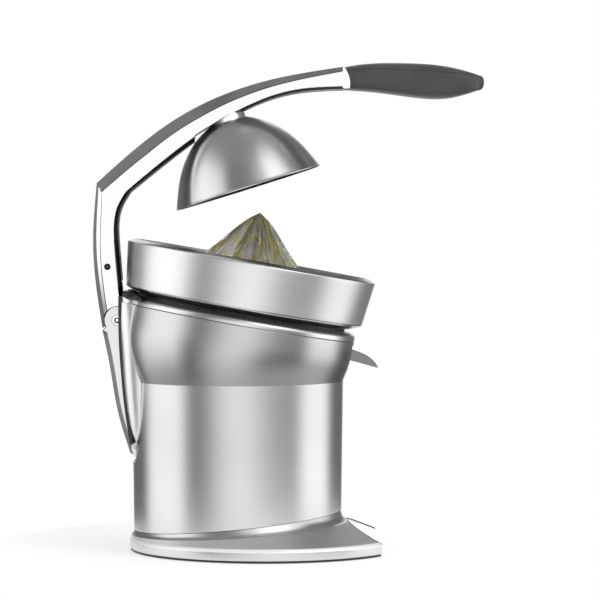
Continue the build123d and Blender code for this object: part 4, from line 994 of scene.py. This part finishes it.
def make_collar_back():
    """The collar's part that closes the top of the spine, on both sides of the channel."""
    turns = [math.pi / 2 * i / 12 for i in range(13)]
    inside = SPINE_HALF - SPINE_CORNER
    corner = [
        (COLLAR_BACK_X + SPINE_CORNER * (1 - math.sin(t)), inside + SPINE_CORNER * math.cos(t)) for t in turns
    ]
    outline = [(-88.0, SPINE_HALF)] + corner
    outline += [(x, -y) for x, y in reversed(outline)]
    block = bmesh.new()
    add_rows(block, [[place(x, y, z) for x, y in outline] for z in (205, 250)])
    low, high, channel = bmesh.new(), bmesh.new(), bmesh.new()
    low_h = COLLAR_SEAM_H + GROOVE / 2
    prism(low, [head_side(-150, low_h), head_side(-60, low_h), (-60, 160), (-160, 160)], -WIDE, WIDE)
    top = [head_side(-150, COLLAR_BACK_H), head_side(-60, COLLAR_BACK_H)]
    prism(high, top + [(-60, 270), (-160, 270)], -WIDE, WIDE)
    prism(channel, CHANNEL_CUT, -CHANNEL_HALF, CHANNEL_HALF)
    block = carve("collar_back", block, [low, high, channel])
    materials = [COLLAR_STEEL, COLLAR_STEEL, COLLAR_STEEL, COLLAR_STEEL]
    finish_mesh("collar_back", block, materials, "press_body", (), math.radians(30))


CAP_FROM, CAP_TO = 12.8, 31.0
CAP_STEPS = 28
CAP_MIDDLE = (107.0, 25.2)


def make_cap():
    """Two dark glossy lugs behind the bowl's foot, each highest near the channel and tapering away."""
    for name, side in (("cap_lug_near", 1), ("cap_lug_far", -1)):
        rows = []
        for i in range(CAP_STEPS + 1):
            t = i / CAP_STEPS
            turn = math.radians(180 + side * (CAP_FROM + (CAP_TO - CAP_FROM) * t))
            full = math.sqrt(max(0.02, 1 - abs(2 * t - 1) ** 10))
            wide, high = (7.6 - 4.0 * t) * full, (5.0 - 2.8 * t) * full
            row = []
            for j in range(20):
                round_turn = 2 * math.pi * j / 20
                across, up = math.cos(round_turn), math.sin(round_turn)
                squared = (abs(across) ** 3 + abs(up) ** 3) ** (1 / 3)
                radius = CAP_MIDDLE[0] + wide * across / squared
                row.append(head_point(turn, radius, CAP_MIDDLE[1] + high * up / squared))
            rows.append(row)
        bm = bmesh.new()
        add_rows(bm, rows)
        replaced = ["spine_cap"] if side > 0 else ()
        finish_mesh(name, bm, [CAP_GLOSS], "press_body", replaced, math.radians(60))


SPINE_BACK = [(-105.7, 232.0), (-105.2, 190.0), (-103.0, 158.3)]
SPINE_BACK += [(-100.6, 133.6), (-97.8, 113.5), (-95.4, 98.0)]
# Depth and sides of the painted shadow strips.
SHADOW_STRIP_OUT = 2.0
SHADOW_STRIP_NEAR, SHADOW_STRIP_FAR = 23.3, 30.4


def make_shadow_strips():
    """Dark glossy strips along both rear edges of the spine's channel: painted shadow of the gap beside the
    link.
    """
    back = smooth_curve(SPINE_BACK, 60)
    for name, side in (("shadow_strip_near", -1), ("shadow_strip_far", 1)):
        near, far = side * SHADOW_STRIP_NEAR, side * SHADOW_STRIP_FAR
        section = [(0, -SHADOW_STRIP_OUT + 0.3, near), (0, -SHADOW_STRIP_OUT, side * 24.0)]
        section += [(0, -SHADOW_STRIP_OUT, side * 28.6), (0, -0.6, far), (0, 1.0, far), (0, 1.0, near)]
        bm = bmesh.new()
        strip(bm, (back, [(x + 2, z) for x, z in back]), lambda spans, row, section=section: section)
        finish_mesh(name, bm, [CAP_GLOSS], "press_body", (), math.radians(50))


def bowl_profile():
    outside = [(98.0, 28.9), (103, 30.75), (107.5, 32.45), (108.3, 33.0), (109.1, 33.7), (109.4, 34.6)]
    outside += [(109.4 + 5.1 * t / 16, 34.6 + 38.0 * t / 16) for t in range(1, 17)]
    rim = [(114.5, 73.3), (114.3, 73.9), (113.7, 74.3), (111.2, 75.55), (109.0, 76.7), (108.5, 76.95)]
    rim += [(108.0, 76.8), (107.7, 76.2), (108.0, 75.5), (112.4, 73.0)]
    inside = [(112.4 - 4.8 * t / 12, 72.4 - 37.0 * t / 12) for t in range(13)]
    floor = [(106.5, 33.6), (98, 30.5), (60, 30.5), (28.0, 30.5), (28.0, 44), (26.4, 44), (26.4, 28.9)]
    return outside + rim + inside + floor, len(outside), len(outside) + len(rim)


def make_bowl():
    profile, rim_start, rim_end = bowl_profile()
    bm = bmesh.new()

    def finish(row, column):
        # Rows 0 and 1, under the bowl's foot, are glossy black: painted shade in the gap above the collar.
        if row < 2:
            return 4
        if row < 5:
            return 1
        return 1 if rim_start + 1 <= row < rim_end - 2 else 0

    revolve(bm, profile, HEAD, 320, finish)
    drain = bmesh.new()
    turn = Matrix.Translation(HEAD @ Vector((84, 0, 0))) @ HEAD.to_3x3().to_4x4()
    revolve(drain, [(0.01, 0), (9, 0), (9, 40), (0.01, 40)], turn, 64)
    bowl = carve("bowl", bm, [drain])
    materials = [BOWL_STEEL, RIM_STEEL, BOWL_STEEL, BOWL_STEEL, CAP_GLOSS]
    finish_mesh("bowl_shell", bowl, materials, "press_body", ["juice_bowl"], math.radians(20))
    tube = bmesh.new()
    revolve(tube, [(9.0, 16), (10.6, 16), (10.6, 30.4), (9.0, 30.4)], turn, 64)
    finish_mesh("bowl_drain_tube", tube, [RIM_STEEL], "press_body", ())


CONE_KNOTS = [(50.0, 49.0), (48.2, 70.8), (36.6, 84.4), (21.8, 101.0), (9.0, 113.5), (0.5, 119.4)]
CONE_RIBS = 12
CONE_ROWS = 48
RIB_COLUMNS = 14


def make_cone():
    """Ribbed cone: sharp ridges with scallops between them that run up to the rounded tip."""
    rows = []
    curve = smooth_curve(CONE_KNOTS, CONE_ROWS)
    for radius, height in [(48.0, 47.5), (49.6, 47.6)] + curve:
        rise = min(1.0, max(0.0, (height - 52) / 10)) * min(1.0, max(0.0, (119.0 - height) / 8))
        row = []
        for j in range(CONE_RIBS * RIB_COLUMNS):
            turn = 2 * math.pi * (j / RIB_COLUMNS + 0.5) / CONE_RIBS
            across = (j % RIB_COLUMNS) / RIB_COLUMNS
            scallop = math.sin(math.pi * across) ** 0.8
            row.append(head_point(turn, radius * (1 - 0.26 * rise * scallop), height))
        rows.append(row)
    bm = bmesh.new()
    add_rows(bm, rows)
    piece = finish_mesh("cone_ribbed", bm, [SMOKY], "spindle", ["reamer_cone"], math.radians(40))
    return piece


make_arm()
make_arm_end()
make_dome()
make_link()
make_pin("arm_pin_detail", "arm_pin", "arm", ARM_PIVOT, 2.95, 20.3, 2.3, 1.4, 0.5, PIN_FACE)
make_pin("knuckle_pin_detail", "knuckle_pin", "knuckle", KNUCKLE, 5.0, 20.8, 2.5, 0.9, 0.6, POLISHED)
make_grip()
make_sleeve()
make_foot()
make_bite_shadow_line()
make_collar()
make_collar_back()
make_cap()
make_shadow_strips()
make_bowl()
make_cone()


# ---- Camera, light and floor ----
CAMERA_PLACE = (-0.0356, -2.425, 0.292)
CAMERA_DOWN = 1.51
CAMERA_TURN = 1.08
LENS = 159.0


def make_camera():
    data = bpy.data.cameras.new("camera")
    camera = bpy.data.objects.new("camera", data)
    bpy.context.scene.collection.objects.link(camera)
    data.lens = LENS
    data.clip_end = 20
    camera.location = CAMERA_PLACE
    camera.rotation_euler = (math.radians(90 - CAMERA_DOWN), 0, math.radians(-CAMERA_TURN))
    bpy.context.scene.camera = camera


SOFTBOXES = [
    # azimuth from the front, half width, low end and its blur, high end and its blur, side blur, strength
    (-88, 28, -30, 34, 36, 26, 20, 1.02),
    (95, 22, -26, 30, 12, 14, 24, 1.18),
    (180, 14, -60, 10, 70, 10, 8, 0.9),
    (-2, 25, -60, 20, 50, 30, 40, 0.88),
    (50, 26, 4, 12, 64, 30, 20, 0.8),
]
SLIDE = 34.0  # how far the front light is shifted to the right above the horizon
SLIDE_LOW = -9.0  # and how far to the left, well below it
SLIDE_SHARE = [0.35, 0.0, 0.0, 1.0, 0.0]
SLIDE_FROM, SLIDE_TO = 2.0, 14.0
SLIDE_LOW_FROM, SLIDE_LOW_TO = -24.0, -10.0
OVERHEAD = (24.0, 60.0, 0.1)
ROOM_LEVEL = 0.14


def soft_band(nodes, value, low, high, low_blur, high_blur):
    """1 between low and high, falling to 0 over a blur at each end."""
    rise = nodes.ramp(value, low - low_blur / 2, low + low_blur / 2)
    fall = nodes.ramp(value, high - high_blur / 2, high + high_blur / 2, 1.0, 0.0)
    return nodes.math("MULTIPLY", rise, fall)


def make_world():
    """A white room to the camera; softboxes in a grey room to whatever is shiny."""
    world = bpy.data.worlds.new("studio")
    bpy.context.scene.world = world
    world.use_nodes = True
    nodes = Nodes(world.node_tree)
    direction = nodes.add("ShaderNodeTexCoord").outputs["Generated"]
    parts = nodes.add("ShaderNodeSeparateXYZ", {0: direction})
    to_front = nodes.math("MULTIPLY", parts.outputs[1], -1.0)
    azimuth = nodes.math("DEGREES", nodes.math("ARCTAN2", parts.outputs[0], to_front))
    elevation = nodes.math("DEGREES", nodes.math("ARCSINE", parts.outputs[2]))
    low, high, strength = OVERHEAD
    total = nodes.math("ADD", nodes.ramp(elevation, low, high, 0.0, strength), ROOM_LEVEL)
    above = nodes.ramp(elevation, SLIDE_FROM, SLIDE_TO, 0.0, SLIDE)
    slide = nodes.math("ADD", above, nodes.ramp(elevation, SLIDE_LOW_FROM, SLIDE_LOW_TO, SLIDE_LOW, 0.0))
    boxes = list(zip(SOFTBOXES, SLIDE_SHARE)) + [((-180,) + SOFTBOXES[2][1:], 0.0)]
    for (centre, half, low, low_blur, high, high_blur, blur, strength), share in boxes:
        turned = nodes.math("SUBTRACT", azimuth, nodes.math("MULTIPLY", slide, share))
        across = soft_band(nodes, turned, centre - half, centre + half, blur, blur)
        up = soft_band(nodes, elevation, low, high, low_blur, high_blur)
        box = nodes.math("MULTIPLY", nodes.math("MULTIPLY", across, up), strength)
        total = nodes.math("ADD", box, total)
    path = nodes.add("ShaderNodeLightPath")
    shiny = nodes.math("MAXIMUM", path.outputs["Is Glossy Ray"], path.outputs["Is Transmission Ray"])
    strength = nodes.add("ShaderNodeMix", {0: shiny, 2: 1.0, 3: total}, data_type="FLOAT")
    background = world.node_tree.nodes["Background"]
    background.inputs["Color"].default_value = (1, 1, 1, 1)
    nodes.set(background.inputs["Strength"], strength.outputs[0])


FLOOR_RADIUS = 0.28
FLOOR_GLOW = 0.45


def make_floor():
    bpy.ops.mesh.primitive_circle_add(vertices=128, radius=FLOOR_RADIUS, fill_type="NGON")
    floor = bpy.context.object
    floor.name = "floor"
    material = bpy.data.materials.new("floor_white")
    material.use_nodes = True
    nodes = Nodes(material.node_tree)
    material.node_tree.nodes.remove(material.node_tree.nodes["Principled BSDF"])
    diffuse = nodes.add("ShaderNodeBsdfDiffuse", {"Color": (0.93, 0.93, 0.93, 1)})
    glow = nodes.add("ShaderNodeEmission", {"Color": (1, 1, 1, 1), "Strength": 1.06})
    path = nodes.add("ShaderNodeLightPath")
    seen = nodes.math("MAXIMUM", path.outputs["Is Camera Ray"], path.outputs["Is Glossy Ray"])
    seen = nodes.math("MAXIMUM", seen, path.outputs["Is Transmission Ray"])
    amount = nodes.math("MULTIPLY", seen, FLOOR_GLOW)
    mixed = nodes.add("ShaderNodeMixShader", {0: amount, 1: diffuse, 2: glow})
    nodes.set(material.node_tree.nodes["Material Output"].inputs[0], mixed)
    floor.data.materials.append(material)


def make_lamp(name, position, size, power):
    data = bpy.data.lights.new(name, "AREA")
    data.shape = "DISK"
    data.size = size
    data.energy = power
    lamp = bpy.data.objects.new(name, data)
    bpy.context.scene.collection.objects.link(lamp)
    lamp.location = position
    lamp.rotation_euler = (Vector((0, 0, 0.2)) - lamp.location).to_track_quat("-Z", "Y").to_euler()
    lamp.visible_glossy = False


make_camera()
make_world()
make_floor()
make_lamp("key", (0.9, -0.9, 1.5), 0.9, 9.0)

bpy.context.scene.view_settings.view_transform = "Standard"
